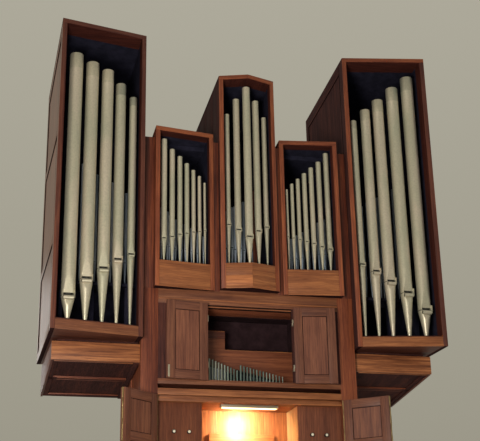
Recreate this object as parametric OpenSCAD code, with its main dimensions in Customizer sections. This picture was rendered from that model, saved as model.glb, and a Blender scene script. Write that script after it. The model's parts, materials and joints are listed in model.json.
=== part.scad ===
// Pipe organ with a hung case: a narrow main case with its console, a small
// front division behind doors, two side fields, a centre tower and two large
// pedal towers carried on brackets. Millimetres, Z up, the floor at Z = 0.
// Modules draw the right-hand side with Y = 0 on the case front, and the whole
// is placed with its origin under the middle of the case.

/* [Main case] */
// Half the width of the main case
case_hw = 1080; // [1000:5:1150]
// Depth of the main case and the towers behind the case front
case_d = 1200; // [1150:10:1300]
// Height of the main case
case_h = 4216; // [4180:2:4240]
// Thickness of the case boards
board_t = 30; // [24:1:34]
// Width of the front stiles below the side fields
stile_w = 165; // [150:1:170]
// Height of the plinth
plinth_h = 110; // [80:5:130]
// How far the plinth stands out from the case
plinth_out = 20; // [10:1:40]
// How deep the panels are sunk into their frames
panel_sink = 9; // [4:1:9]
// Width of the frames round the panels
frame_w = 85; // [60:5:95]

/* [Pedal towers] */
// Distance from the middle to the outer face of a tower
tower_x = 1965; // [1940:5:1990]
// How far the inner front edge stands out from the case front
tower_out_in = 109; // [90:1:130]
// How far the outer front edge stands out from the case front
tower_out_edge = 285; // [260:1:310]
// Height of the towers' bottom
tower_z = 2087; // [2080:1:2100]
// Height of the towers' roof at its front edge
tower_top = 5319; // [5300:1:5400]
// Thickness of the tower boards
tower_t = 44; // [36:1:46]
// Height of the rail across the bottom of a tower
tower_rail_h = 100; // [90:5:110]
// Height of the toe board's top over the tower's bottom
tower_toe_h = 118; // [112:1:130]
// Depth of the wind chest behind the tower's front
tower_chest_d = 420; // [360:10:480]
// How far the roofs fall for each unit of depth
roof_fall = 0.12; // [0:0.01:0.16]

/* [Brackets] */
// Distance from the middle to the outer face of a bracket
bracket_x = 1915; // [1890:5:1925]
// Set-back of the bracket's fascia behind the case front
bracket_y = 50; // [40:5:60]
// Height of the bracket's lower front edge
bracket_z = 1875; // [1860:1:1890]
// Gap between the fascia and the tower
shadow_gap = 34; // [20:1:40]
// How far the underside falls for each unit of depth
bracket_fall = 0.12; // [0.08:0.01:0.14]

/* [Side fields] */
// Distance from the middle to a field's inner face
field_x0 = 355; // [345:1:365]
// How far a field's outer face lies inside the side of the main case
field_in = 113; // [105:1:130]
// How far the inner front edge stands out
field_out_in = 20; // [15:1:30]
// How far the outer front edge stands out
field_out_edge = 94; // [80:1:110]
// Height of the fields' bottom
field_z = 2608; // [2604:1:2615]
// How far the fields' roof stands over the main case at its front edge
field_rise = 92; // [76:1:110]
// Depth of a field behind the case front
field_d = 180; // [160:5:220]
// Thickness of the field boards
field_t = 44; // [36:1:46]
// Height of the plain apron under the pipes
apron_h = 267; // [250:1:275]
// How far the toe boards stand over the aprons
toe_over = 11; // [6:1:20]

/* [Centre tower] */
// Half the width of the centre tower
centre_hw = 299; // [290:1:305]
// How far its sides stand out from the case front
centre_out_side = 68; // [55:1:80]
// How far its middle edge stands out
centre_out_peak = 148; // [130:1:165]
// Height of the centre tower's bottom
centre_z = 2622; // [2618:1:2630]
// Height of its roof at the front
centre_top = 4972; // [4940:1:5000]

/* [Front division and its doors] */
// Half the width of the opening behind the doors
brust_hw = 430; // [415:1:440]
// Height of the opening's bottom, the rail's top
brust_z = 1723; // [1715:1:1730]
// Height of the opening's top
brust_top = 2465; // [2440:1:2480]
// Depth of the opening's boxing
brust_d = 350; // [300:5:370]
// Thickness of the doors
door_t = 22; // [18:1:26]
// How far the doors stand open, in degrees
door_open = 172; // [150:1:174]
// Gap round the closed doors
door_gap = 6; // [5.5:0.5:8]
// Radius of the door hinges' knuckles
knuckle_r = 6; // [5:0.5:6.5]
// Radius of the hinge pins
hinge_pin_r = 3; // [2:0.5:4]

/* [Console] */
// Height of the shelf's lower edge
shelf_z = 1568; // [1564:1:1572]
// Thickness of the shelf
shelf_t = 63; // [50:1:66]
// Depth of the shelf
shelf_d = 250; // [200:5:260]
// Height of the console recess
recess_top = 1510; // [1490:1:1520]
// Set-back of the console panels behind the case front
recess_y = 60; // [50:2:80]
// Half the width of the niche over the keys
niche_hw = 477; // [460:1:500]
// Depth of the niche and the kneehole
niche_d = 450; // [430:5:500]
// Half the width of the kneehole between its sides
knee_hw = 600; // [596:1:640]
// Height of the key table's top
table_z = 740; // [710:5:760]
// Thickness of the key table
table_t = 40; // [30:1:50]
// Pitch of the natural keys
key_pitch = 23.5; // [23:0.1:23.9]
// Rise from one manual to the next
manual_rise = 78; // [70:1:90]
// Set-back from one manual to the next
manual_step = 108; // [100:1:120]
// Height of the music desk
desk_h = 330; // [260:5:380]

/* [Pedals and bench] */
// Pitch of the natural pedals
pedal_pitch = 62; // [58:1:63]
// Length of the natural pedals
pedal_len = 700; // [640:10:760]
// Half the length of the bench
bench_hw = 655; // [645:5:700]
// Height of the bench seat
bench_h = 540; // [500:5:580]
// Depth of the bench seat
bench_d = 320; // [280:5:360]

/* [Console doors] */
// Width of the hinged leaf
leaf_a = 462; // [440:1:470]
// Width of the folded leaf
leaf_b = 430; // [420:1:436]
// Thickness of the leaves
leaf_t = 22; // [18:1:26]
// How far the leaves stand open, in degrees
leaf_open = 140; // [120:1:150]
// Height of the leaves' lower edge
leaf_z = 705; // [690:1:760]
// Height of the leaves' upper edge
leaf_top = 1562; // [1540:1:1564]

/* [Hidden] */
$fn = 48;
// Overlap of a cutting body past the face it cuts
over = 1;
// Gap between two pieces of one node where they meet
seat = 0.3;
// Colours
mahogany = [0.36, 0.16, 0.09];
lit_mahogany = [0.55, 0.29, 0.14];
dark_wood = [0.22, 0.10, 0.07];
tin = [0.66, 0.65, 0.60];
brass = [0.75, 0.60, 0.30];
bone = [0.90, 0.86, 0.76];

// Keys and pedals: numbers of naturals, their place in an octave with a sharp after
// them, visible length of the naturals, width, height and set-back of the sharps
naturals = 33;
pedals = 18;
with_sharp = [0, 1, 3, 4, 5];
key_reach = 142;
sharp_w = 11;
sharp_h = 11;
sharp_y = 48;
pedal_w = 24;
pedal_z = 45;
pedal_nose = 16.5;
pedal_sharp_len = 160;

stile_x = case_hw - stile_w;
side_x = case_hw - board_t;
back_y = case_d - board_t;
notch_hw = knee_hw + 20;
table_y = 20;
key_bed_z = table_z + 60;
manual_hw = naturals * key_pitch / 2;
cheek_x = manual_hw + 12;
// The front edge of the lower manual, its depth, the back of the board behind
// the keys and the height of that board's top
manual_y = table_y + 20;
manual_d = 290;
key_back_y = manual_y + manual_d + 20;
key_back_z = key_bed_z + manual_rise + 75;
// Half the width of the music desk
desk_hw = 330;
// How far the small division's doors reach under and over its opening
door_low = 15;
door_over = 5;
// The small division's back board: its two heights and the width of its step
back_low = brust_z + 387;
back_high = brust_z + 577;
back_step = 260;
// How far the boxing behind the doors goes on past the opening at each side
brust_wide = 130;
box_hw = brust_hw + brust_wide;

field_x1 = case_hw - field_in;
field_top = case_h + field_rise;

// Clear widths between the sides of a tower, of a field and of half the centre tower
tower_clear = tower_x - case_hw - 2 * tower_t;
field_clear = field_x1 - field_x0 - 2 * field_t;
centre_clear = centre_hw - tower_t;

// Pipes, counted from the middle outwards: place and diameter as shares of the
// clear width, length of the foot, and how far the top stays below the roof
tower_pipe_at = [0.090, 0.258, 0.434, 0.637, 0.848];
tower_pipe_w = [0.095, 0.130, 0.148, 0.161, 0.167];
tower_foot = [778, 703, 595, 474, 293];
tower_drop_left = [705, 582, 455, 404, 341];
tower_drop_right = [723, 595, 477, 331, 202];
field_pipe_at = [0.073, 0.181, 0.303, 0.437, 0.578, 0.733, 0.893];
field_pipe_w = [0.053, 0.069, 0.078, 0.090, 0.095, 0.101, 0.107];
field_foot = [370, 354, 341, 320, 301, 267, 244];
field_drop = [542, 477, 420, 356, 288, 220, 118];
centre_pipe_at = [0, 0.412, 0.788];
centre_pipe_w = [0.314, 0.267, 0.204];
centre_foot = [301, 376, 434];
centre_drop = [115, 252, 423];
// Distance of the pipes' centres behind the front edge of their box
tower_pipe_in = 100;
field_pipe_in = 66;
centre_pipe_in = [100, 98, 96];
// Parts of a pipe as shares of its diameter: width, height and depth of the mouth,
// width of the lips there, height of the upper and the lower lip, radius of the foot's
// tip, wall, languid and radius of the beard
mouth_share = 0.62;
cut_share = 0.24;
mouth_in = 0.24;
lip_share = 0.66;
upper_lip = 1.35;
lower_lip = 0.7;
tip_share = 0.13;
wall_share = 0.03;
languid_share = 0.04;
beard_share = 0.15;
// Plan of the right ear, rooted in the wall beside the mouth
ear_plan = [[0.345, -0.335], [0.367, -0.322], [0.445, -0.50], [0.428, -0.51]];
// Depth of the flattened lips behind the round front at the mouth
lip_in = 0.5 - sqrt(0.25 - pow(lip_share / 2, 2));
// Small pipes of the front division, in two runs: place of the first and pitch as shares
// of the opening's half width, number, height of the first, fall to the next, diameter
small_runs = [[-0.921, 0.0721, 11, 292, 12, 22], [-0.112, 0.0767, 14, 222, 7.5, 19]];
small_y = 210;
small_foot = 62;
// Draw knobs: places beside the niche, lowest row over the key table, and pitch of the rows
knob_x = [130, 275];
knob_low = 160;
knob_pitch = 110;
// Heights of the toe boards' tops, on which the pipes stand
tower_toe_z = tower_z + tower_toe_h;
field_toe_z = field_z + apron_h + toe_over;
centre_toe_z = centre_z + apron_h + 4;

// Y of a slanted front at distance x from the middle
function slant_y(x, x0, out0, x1, out1) = -out0 - (x - x0) * (out1 - out0) / (x1 - x0);
function tower_y(x) = slant_y(x, case_hw, tower_out_in, tower_x, tower_out_edge);
function field_y(x) = slant_y(x, field_x0, field_out_in, field_x1, field_out_edge);
function centre_y(x) = slant_y(x, 0, centre_out_peak, centre_hw, centre_out_side);
function field_z_top(y) = field_top - roof_fall * (y + field_out_edge);
function centre_z_top(y) = centre_top - roof_fall * (y + centre_out_peak);

// Puts the case front at its place behind the origin
module placed() translate([0, -case_d / 2, 0]) children();

// Draws something on the right, and its mirror image on the left
module both() {
    children();
    mirror([1, 0, 0]) children();
}

// A box from one corner to the opposite one
module block(low, high) translate(low) cube(high - low);

// A profile in the YZ plane, drawn out along X
module along_x(x0, x1, points)
    translate([x0, 0, 0]) rotate([90, 0, 90]) linear_extrude(x1 - x0) polygon(points);

// A board standing across Y, with panels sunk into both its faces
module panelled(w, h, t, cols = 1, rows = 1) {
    step = (h - frame_w) / rows;
    levels = [for (i = [0:rows]) frame_w / 2 + i * step];
    pw = (w - (cols + 1) * frame_w) / cols;
    difference() {
        cube([w, t, h]);
        for (i = [0:len(levels) - 2], j = [0:cols - 1], y = [-over, t - panel_sink])
            translate([frame_w + j * (pw + frame_w), y, levels[i] + frame_w / 2])
                cube([pw, panel_sink + over, levels[i + 1] - levels[i] - frame_w]);
    }
}

// The same board turned to stand across X, its width running back from y
module panelled_side(x, y, z, w, h, t, cols = 1, rows = 1)
    translate([x + t, y, z]) rotate([0, 0, 90]) panelled(w, h, t, cols, rows);

// A metal pipe that stands on its conical foot, open at the top, with its
// mouth cut through the wall above the foot
module pipe(d, foot, length) {
    wall = max(1.2, d * wall_share);
    mouth_z = foot + d * languid_share;
    difference() {
        rotate_extrude() polygon([[0, 0], [d * tip_share, 0], [d / 2, foot], [d / 2, length],
            [d / 2 - wall, length], [d / 2 - wall, mouth_z], [0, mouth_z]]);
        mouth(d, mouth_z);
    }
}

module mouth(d, z)
    translate([-d * mouth_share / 2, -d / 2 - over, z])
        cube([d * mouth_share, d * mouth_in + over, d * cut_share]);

// What the upper lip's leaning flat takes off a round body
module upper_flat(d, lip_z) {
    lean = lip_in / upper_lip;
    translate([0, -d / 2, lip_z]) along_x(-d * 0.4, d * 0.4, d * [[-0.3, -0.1], [lip_in + lean * 0.1, -0.1],
        [-lip_in * 0.1, upper_lip * 1.1], [-0.3, upper_lip * 1.1]]);
}

// What the lower lip's flat takes off the conical foot, up into the mouth
module lower_flat(d, foot, mouth_z) {
    low_z = foot - d * lower_lip;
    low_r = d * tip_share + (d / 2 - d * tip_share) * low_z / foot;
    along_x(-d * 0.4, d * 0.4, [[-d * 0.8, low_z - d * 0.1], [-low_r - d * lip_in * 0.14, low_z - d * 0.1],
        [d * (lip_in - 0.5), foot], [d * (lip_in - 0.5), mouth_z + d * 0.05], [-d * 0.8, mouth_z + d * 0.05]]);
}

// A pipe of the front: its lips flattened over and under the mouth, with an ear
// splayed out at each side of it and, if wanted, a round beard under it
module front_pipe(d, foot, length, beard = false) {
    wall = max(1.2, d * wall_share);
    mouth_z = foot + d * languid_share;
    lip_z = mouth_z + d * cut_share;
    difference() {
        rotate_extrude() polygon([[0, 0], [d * tip_share, 0], [d / 2, foot], [d / 2, length], [0, length]]);
        difference() {
            translate([0, 0, mouth_z]) cylinder(r = d / 2 - wall, h = length);
            block([-d * 0.3, -d, lip_z - d * 0.05],
                [d * 0.3, d * (lip_in - 0.5) + wall, lip_z + d * upper_lip * 1.2]);
        }
        upper_flat(d, lip_z);
        lower_flat(d, foot, mouth_z);
        mouth(d, mouth_z);
    }
    for (side = [0, 1]) mirror([side, 0, 0])
        translate([0, 0, foot - d * 0.25]) linear_extrude(d * (0.39 + languid_share + cut_share))
            polygon(d * ear_plan);
    if (beard)
        translate([-d * 0.28, -d * 0.43, foot - d * 0.17]) rotate([0, 90, 0])
            cylinder(r = d * beard_share, h = d * 0.56);
}

module plinth() color(dark_wood) difference() {
    union() {
        block([-case_hw - plinth_out, -plinth_out, 0],
            [case_hw + plinth_out, case_d, plinth_h - 15]);
        block([-case_hw - plinth_out / 2, -plinth_out / 2, 0],
            [case_hw + plinth_out / 2, case_d, plinth_h]);
    }
    block([-notch_hw, -plinth_out - over, -over], [notch_hw, niche_d, plinth_h + over]);
}

module case_sides() color(mahogany) both()
    panelled_side(side_x, board_t, plinth_h, case_d - board_t, case_h - plinth_h, board_t, 2, 4);

module front_stiles() color(mahogany) both() {
    block([stile_x, 0, plinth_h], [case_hw, board_t, field_z]);
    block([field_x1, 0, field_z], [case_hw, board_t, case_h]);
    block([centre_hw, 0, field_z], [field_x0, board_t, case_h]);
}

module front_rails() color(lit_mahogany) {
    block([-stile_x, 0, brust_top], [stile_x, board_t, field_z]);
    block([-centre_hw, 0, brust_top], [centre_hw, board_t, centre_z]);
    block([-stile_x, 0, brust_z - 50], [stile_x, board_t, brust_z]);
}

module flank_panels() color(mahogany) both()
    block([brust_hw, 0, brust_z], [stile_x, board_t, brust_top]);

// The shelf with the recess for books over it, the ledge under it and the
// ceiling of the niche
module shelf() color(lit_mahogany) along_x(-stile_x, stile_x, [
    [8, recess_top], [niche_d, recess_top], [niche_d, recess_top + 20], [60, recess_top + 20],
    [60, shelf_z], [shelf_d, shelf_z], [shelf_d, brust_z - 50], [shelf_d - 20, brust_z - 50],
    [shelf_d - 20, shelf_z + shelf_t], [0, shelf_z + shelf_t], [0, shelf_z], [40, shelf_z],
    [40, recess_top + 40], [8, recess_top + 40]]);

module console_panels() color(mahogany) both() {
    difference() {
        union() {
            block([notch_hw, recess_y, plinth_h], [side_x, recess_y + 20, table_z - table_t]);
            block([niche_hw, recess_y, table_z - table_t], [side_x, recess_y + 20, recess_top]);
            block([stile_x, board_t, plinth_h], [side_x, recess_y, recess_top]);
        }
        block([notch_hw + 45, recess_y - over, plinth_h + 60],
            [stile_x - 45, recess_y + panel_sink, table_z - table_t - 60]);
    }
}

module case_top() color(mahogany) both()
    translate([0, 0, case_h - board_t]) linear_extrude(board_t) polygon([
        [centre_hw, field_d], [field_x1, field_d], [field_x1, board_t], [side_x, board_t],
        [side_x, back_y], [centre_hw, back_y]]);

// The backs of the case, the centre tower and the two towers
module back_panels() color(mahogany) {
    translate([-side_x, back_y, plinth_h])
        panelled(2 * side_x, case_h - plinth_h, board_t, 3, 4);
    centre_back();
    both() intersection() {
        translate([case_hw + tower_t, back_y, tower_z])
            panelled(tower_clear, tower_top - tower_z, board_t, 1, 3);
        below_tower_roof(tower_t);
    }
}

module centre_back() intersection() {
    block([-centre_hw, back_y, case_h + seat], [centre_hw, case_d, centre_top]);
    along_x(-centre_hw, centre_hw, [[0, case_h], [case_d, case_h],
        [case_d, centre_z_top(case_d) - tower_t], [0, centre_z_top(0) - tower_t]]);
}

// A slice of a tower, between two distances from the middle and two heights,
// its front set back by inset
module tower_slice(x0, x1, inset, y1, z0, z1)
    translate([0, 0, z0]) linear_extrude(z1 - z0)
        polygon([[x0, tower_y(x0) + inset], [x1, tower_y(x1) + inset], [x1, y1], [x0, y1]]);

// The space under a tower's roof plane, lowered by drop. The plane holds the
// slanted front edge level and falls to the back
module below_tower_roof(drop, low = 0) {
    turn = atan((tower_out_edge - tower_out_in) / (tower_x - case_hw));
    reach = 2 * case_d;
    translate([case_hw, -tower_out_in, 0]) rotate([0, 0, -turn])
        along_x(-reach, reach, [[-reach, low], [reach, low],
            [reach, tower_top - drop - roof_fall * reach],
            [-reach, tower_top - drop + roof_fall * reach]]);
}

// One side of a tower, its three panels sunk into the face that starts at face
module tower_side(x, face) difference() {
    intersection() {
        tower_slice(x, x + tower_t, 0, case_d, tower_z, tower_top + tower_t);
        below_tower_roof(tower_t);
    }
    tall = tower_top - tower_z;
    rails = [tower_z + frame_w, tower_z + 0.28 * tall, tower_z + 0.63 * tall, tower_top];
    y0 = tower_y(x) + frame_w + 30;
    for (i = [0:2]) intersection() {
        block([face, y0, rails[i] + (i > 0 ? frame_w / 2 : 0)],
            [face + panel_sink + over, case_d - frame_w, rails[i + 1] - (i < 2 ? frame_w / 2 : 0)]);
        below_tower_roof(tower_t + frame_w);
    }
}

module tower_sides() color(mahogany) {
    tower_side(case_hw, case_hw - over);
    tower_side(tower_x - tower_t, tower_x - panel_sink);
}

module tower_roof() color(mahogany) difference() {
    intersection() {
        tower_slice(case_hw, tower_x, 0, case_d, tower_z, tower_top + tower_t);
        below_tower_roof(0);
    }
    below_tower_roof(tower_t, tower_z - over);
}

// The tower's floor, the rail across its front and the toe board of its chest
module tower_floor() color(lit_mahogany) {
    x0 = case_hw + tower_t;
    x1 = tower_x - tower_t;
    tower_slice(x0, x1, 0, back_y, tower_z, tower_z + tower_t);
    difference() {
        tower_slice(x0, x1, 4, 0, tower_z, tower_z + tower_rail_h);
        tower_slice(x0 - over, x1 + over, 30, over,
            tower_z + tower_t, tower_z + tower_rail_h + over);
    }
    tower_slice(x0, x1, 42, tower_chest_d, tower_z, tower_toe_z);
}

module tower_pipes(drops) color(tin)
    for (i = [0:len(drops) - 1]) {
        x = case_hw + tower_t + tower_pipe_at[i] * tower_clear;
        translate([x, tower_y(x) + tower_pipe_in, tower_toe_z])
            front_pipe(tower_pipe_w[i] * tower_clear, tower_foot[i],
                tower_top - drops[i] - tower_toe_z, beard = true);
    }

function bracket_low(y) = bracket_z - bracket_fall * (y - bracket_y);

// The box that carries a tower, its sloping underside framed with two panels
module bracket() color(dark_wood) {
    top_z = tower_z - shadow_gap;
    deep = back_y - 20;
    mid_y = (bracket_y + deep) / 2;
    difference() {
        along_x(case_hw, bracket_x, [[bracket_y, bracket_low(bracket_y)],
            [deep, bracket_low(deep)], [deep, tower_z], [bracket_y + 60, tower_z],
            [bracket_y + 60, top_z], [bracket_y, top_z]]);
        block([bracket_x - 45, 0, top_z], [bracket_x + over, case_d, tower_z + over]);
        for (span = [[bracket_y + 45, mid_y - 25], [mid_y + 25, deep - 45]])
            along_x(case_hw + 45, bracket_x - 45, [
                [span[0], bracket_low(span[0]) - 50], [span[1], bracket_low(span[1]) - 50],
                [span[1], bracket_low(span[1]) + 60], [span[0], bracket_low(span[0]) + 60]]);
    }
}

// A slice of a field, as tower_slice
module field_slice(x0, x1, inset, y1, z0, z1)
    translate([0, 0, z0]) linear_extrude(z1 - z0)
        polygon([[x0, field_y(x0) + inset], [x1, field_y(x1) + inset], [x1, y1], [x0, y1]]);

module below_field_roof(drop)
    along_x(field_x0 - over, field_x1 + over, [[-case_d, 0], [case_d, 0],
        [case_d, field_z_top(case_d) - drop], [-case_d, field_z_top(-case_d) - drop]]);

module field_sides() color(mahogany) both() intersection() {
    union() {
        field_slice(field_x0, field_x0 + field_t, 0, field_d, field_z, field_top);
        field_slice(field_x1 - field_t, field_x1, 0, field_d, field_z, field_top);
    }
    below_field_roof(field_t);
}

// Each field's roof, with the board that closes it down to the case top
module field_roofs() color(mahogany) both() difference() {
    intersection() {
        field_slice(field_x0, field_x1, 0, field_d + 20, case_h, field_top + field_t);
        below_field_roof(0);
    }
    intersection() {
        field_slice(field_x0 - over, field_x1 + over, -over, field_d, field_z, field_top);
        below_field_roof(field_t);
    }
}

module field_aprons() color(lit_mahogany) both() {
    x0 = field_x0 + field_t;
    x1 = field_x1 - field_t;
    field_slice(x0, x1, 0, field_d, field_z, field_z + field_t);
    field_slice(x0, x1, 4, field_d, field_z, field_z + apron_h);
    field_slice(x0, x1, 26, field_d, field_z, field_toe_z);
}

module field_pipes() color(tin)
    for (i = [0:len(field_drop) - 1]) {
        x = field_x0 + field_t + field_pipe_at[i] * field_clear;
        translate([x, field_y(x) + field_pipe_in, field_toe_z])
            front_pipe(field_pipe_w[i] * field_clear, field_foot[i],
                field_top - field_drop[i] - field_toe_z);
    }

// A slice of the centre tower, pointed at the front
module centre_slice(x0, x1, inset, y1, z0, z1)
    translate([0, 0, z0]) linear_extrude(z1 - z0)
        polygon([[x0, centre_y(x0) + inset], [x1, centre_y(x1) + inset], [x1, y1], [x0, y1]]);

module below_centre_roof(drop)
    along_x(-centre_hw - over, centre_hw + over, [[-case_d, 0], [2 * case_d, 0],
        [2 * case_d, centre_z_top(2 * case_d) - drop], [-case_d, centre_z_top(-case_d) - drop]]);

module centre_sides() color(mahogany) both() intersection() {
    centre_slice(centre_hw - tower_t, centre_hw, 0, back_y, centre_z, centre_top);
    below_centre_roof(tower_t);
}

module centre_roof() color(mahogany) difference() {
    intersection() {
        both() centre_slice(0, centre_hw, 0, case_d, centre_z, centre_top + tower_t);
        below_centre_roof(0);
    }
    below_centre_roof(tower_t);
}

module centre_apron() color(lit_mahogany) both() {
    centre_slice(0, centre_clear, 0, field_d, centre_z, centre_z + tower_t);
    centre_slice(0, centre_clear, 4, field_d, centre_z, centre_z + apron_h - 5);
    centre_slice(0, centre_clear, 28, field_d, centre_z, centre_toe_z);
}

module centre_pipes() color(tin)
    for (i = [0:2], side = i > 0 ? [-1, 1] : [1]) {
        x = centre_pipe_at[i] * centre_clear;
        translate([side * x, centre_y(x) + centre_pipe_in[i], centre_toe_z])
            front_pipe(centre_pipe_w[i] * centre_clear, centre_foot[i],
                centre_top - centre_drop[i] - centre_toe_z);
    }

// The floor and the ceiling behind the doors
module brustwerk_shelves() color(mahogany) {
    block([-side_x, board_t, brust_z - 50], [side_x, brust_d + 30, brust_z - 23]);
    block([-box_hw - 20, board_t, brust_top], [box_hw + 20, brust_d + 30, brust_top + 25]);
}

module brustwerk_sides() color(mahogany) both()
    block([box_hw, board_t, brust_z - 23], [box_hw + 20, brust_d + 30, brust_top]);

// The back board, higher at its left end
module brustwerk_back() color(lit_mahogany)
    translate([0, brust_d + 15, 0]) rotate([90, 0, 0]) linear_extrude(15) polygon([
        [-box_hw, brust_z - 23], [box_hw, brust_z - 23], [box_hw, back_low],
        [-brust_hw + back_step, back_low], [-brust_hw + back_step, back_high],
        [-box_hw, back_high]]);

// Two runs of small pipes, each falling to the right
module brustwerk_pipes() color(tin)
    for (run = small_runs, i = [0:run[2] - 1])
        translate([(run[0] + i * run[1]) * brust_hw, small_y, brust_z - 23])
            pipe(run[5] - i * 0.5, small_foot, run[3] - i * run[4]);

// Hinge lines of the doors, at the front of the closed doors
hinge_x = brust_hw;
hinge_y = -door_gap - door_t;
door_z = brust_z - door_low;
door_top = brust_top + door_over;
hinge_zs = [door_z + 125, door_top - 180];
hinge_len = 30;
pin_gap = seat;

// The fixed halves of the hinges, each with its plate, knuckle and pin
module door_hinges() color(brass) both() for (z = hinge_zs) translate([hinge_x, hinge_y, z]) {
    cylinder(r = knuckle_r, h = hinge_len);
    cylinder(r = hinge_pin_r, h = 2 * hinge_len);
    block([-3, 0, 0], [3, -hinge_y - 3, hinge_len]);
    block([-3, -hinge_y - 3, 0], [28, -hinge_y, hinge_len]);
}

// A door drawn closed, with the moving halves of its hinges
module door_shut() {
    edge = knuckle_r + 2;
    translate([door_gap / 2, hinge_y, door_z])
        panelled(hinge_x - edge - door_gap / 2, door_top - door_z, door_t);
    for (z = hinge_zs) translate([hinge_x, hinge_y, z + hinge_len + pin_gap]) difference() {
        union() {
            cylinder(r = knuckle_r, h = hinge_len - pin_gap);
            block([-edge - 34, -2, 0], [0, 0, hinge_len - pin_gap]);
        }
        translate([0, 0, -over]) cylinder(r = hinge_pin_r + pin_gap, h = hinge_len + 2 * over);
    }
}

module door_opened() color(mahogany)
    translate([hinge_x, hinge_y, 0]) rotate([0, 0, door_open])
        translate([-hinge_x, -hinge_y, 0]) door_shut();

module brustwerk_door_left() mirror([1, 0, 0]) door_opened();

module brustwerk_door_right() door_opened();

module console_sides() color(lit_mahogany) both() {
    block([niche_hw, recess_y + 20, table_z], [niche_hw + 20, niche_d, recess_top]);
    block([knee_hw, recess_y, 0], [notch_hw, niche_d, table_z - table_t]);
}

module console_backs() color(mahogany) {
    block([-niche_hw, niche_d - 20, table_z], [niche_hw, niche_d, recess_top]);
    translate([-knee_hw, niche_d - 20, 0])
        panelled(2 * knee_hw, table_z - table_t, 20, 3);
}

// The table with the cheeks beside the keys and the board behind them
module key_table() color(mahogany) {
    translate([0, 0, table_z - table_t]) linear_extrude(table_t) polygon([
        [-niche_hw, table_y], [niche_hw, table_y], [niche_hw, recess_y + 20],
        [notch_hw, recess_y + 20], [notch_hw, niche_d], [-notch_hw, niche_d],
        [-notch_hw, recess_y + 20], [-niche_hw, recess_y + 20]]);
    both() along_x(cheek_x, niche_hw, [[manual_y - 5, table_z], [key_back_y, table_z],
        [key_back_y, key_back_z], [manual_y + 170, key_back_z - 45],
        [manual_y + 90, key_bed_z + 45], [manual_y - 5, key_bed_z + 25]]);
    block([-niche_hw, key_back_y - 20, table_z], [niche_hw, key_back_y, key_back_z]);
}

// A leaning board with a lip for the music, standing on the board behind the keys
module music_desk() color(lit_mahogany)
    translate([0, key_back_y, key_back_z]) along_x(-desk_hw, desk_hw, [[-32, 0], [0, 0], [0, 20],
        [desk_h * 0.2, desk_h], [desk_h * 0.2 - 16, desk_h], [-16, 20], [-54, 20], [-54, 34],
        [-64, 34], [-64, 6], [-32, 6]]);

// One manual of 56 keys: its bed, the naturals parted by grooves and overhanging
// in front, and the sharps with their sloping noses
module manual(depth, h) {
    hw = manual_hw;
    difference() {
        block([-cheek_x, 0, 0], [cheek_x, depth, h]);
        for (i = [0:naturals]) block([-hw + i * key_pitch - 0.6, -over, h - 9],
            [-hw + i * key_pitch + 0.6, key_reach, h + over]);
        block([-hw, -over, h - 22], [hw, 3, h - 4]);
        block([-cheek_x - over, -over, -over], [cheek_x + over, 8, h - 22]);
    }
    for (i = [0:naturals - 2]) if (search(i % 7, with_sharp) != [])
        translate([-hw + (i + 1) * key_pitch, 0, h]) along_x(-sharp_w / 2, sharp_w / 2,
            [[sharp_y, -over], [key_reach, -over], [key_reach, sharp_h], [sharp_y + 9, sharp_h],
            [sharp_y + 5, sharp_h - 1.5]]);
}

module manuals() color(bone) {
    translate([0, manual_y, table_z]) manual(manual_d, key_bed_z - table_z);
    translate([0, manual_y + manual_step, key_bed_z + 16])
        manual(manual_d - manual_step, manual_rise - 16);
}

// Draw knobs on both sides of the niche
module stop_knobs() color(bone) both()
    for (x = knob_x, i = [0:3])
        translate([niche_hw + x, recess_y, table_z + knob_low + i * knob_pitch]) rotate([90, 0, 0])
            rotate_extrude() polygon([[0, 0], [15, 0], [15, 1.5], [13.5, 3], [10, 3.2], [9, 5],
                [7.5, 6], [7.5, 23], [9.5, 24.5], [16, 27], [18.5, 30], [19, 33], [17.8, 36.5],
                [15, 38.5], [13, 38.5], [11.8, 39.6], [6, 40.5], [0, 40.7]]);

// Thirty pedals in their frame
module pedalboard() color(mahogany) {
    hw = pedals / 2 * pedal_pitch;
    y1 = niche_d - 20;
    y0 = y1 - pedal_len;
    edge = knee_hw - 12;
    both() block([hw, y0 - 25, 0], [edge, y1, 105]);
    block([-hw, y1 - 40, 0], [hw, y1, 105]);
    block([-hw, y0 - 25, 0], [hw, y0, 70]);
    block([-hw, y0, 0], [hw, y1 - 40, 12]);
    for (i = [0:pedals - 1]) translate([-hw + (i + 0.5) * pedal_pitch, y0, pedal_z])
        along_x(-pedal_w / 2, pedal_w / 2, concat([[pedal_len - 40, 0]],
            [for (a = [-90:22.5:90]) [pedal_nose * (1 - cos(a)), pedal_nose * (1 + sin(a))]],
            [[pedal_len - 40, 2 * pedal_nose]]));
    for (i = [0:pedals - 2]) if (search(i % 7, with_sharp) != [])
        translate([-hw + (i + 1) * pedal_pitch, y1 - 40 - pedal_sharp_len, pedal_z])
            along_x(1 - pedal_w / 2, pedal_w / 2 - 1, [[0, 0], [pedal_sharp_len, 0],
                [pedal_sharp_len, 75], [100, 77], [30, 76], [12, 69], [2, 55], [0, 40]]);
}

module bench() color(lit_mahogany) {
    y1 = -260;
    y0 = y1 - bench_d;
    leg = 35;
    block([-bench_hw, y0, bench_h - 38], [bench_hw, y1, bench_h]);
    both() block([bench_hw - leg - 10, y0 + 30, 0], [bench_hw - 10, y1 - 30, bench_h - 38]);
    block([-bench_hw + leg + 9, y0 + 60, 190], [bench_hw - leg - 9, y0 + 85, 270]);
}

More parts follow.
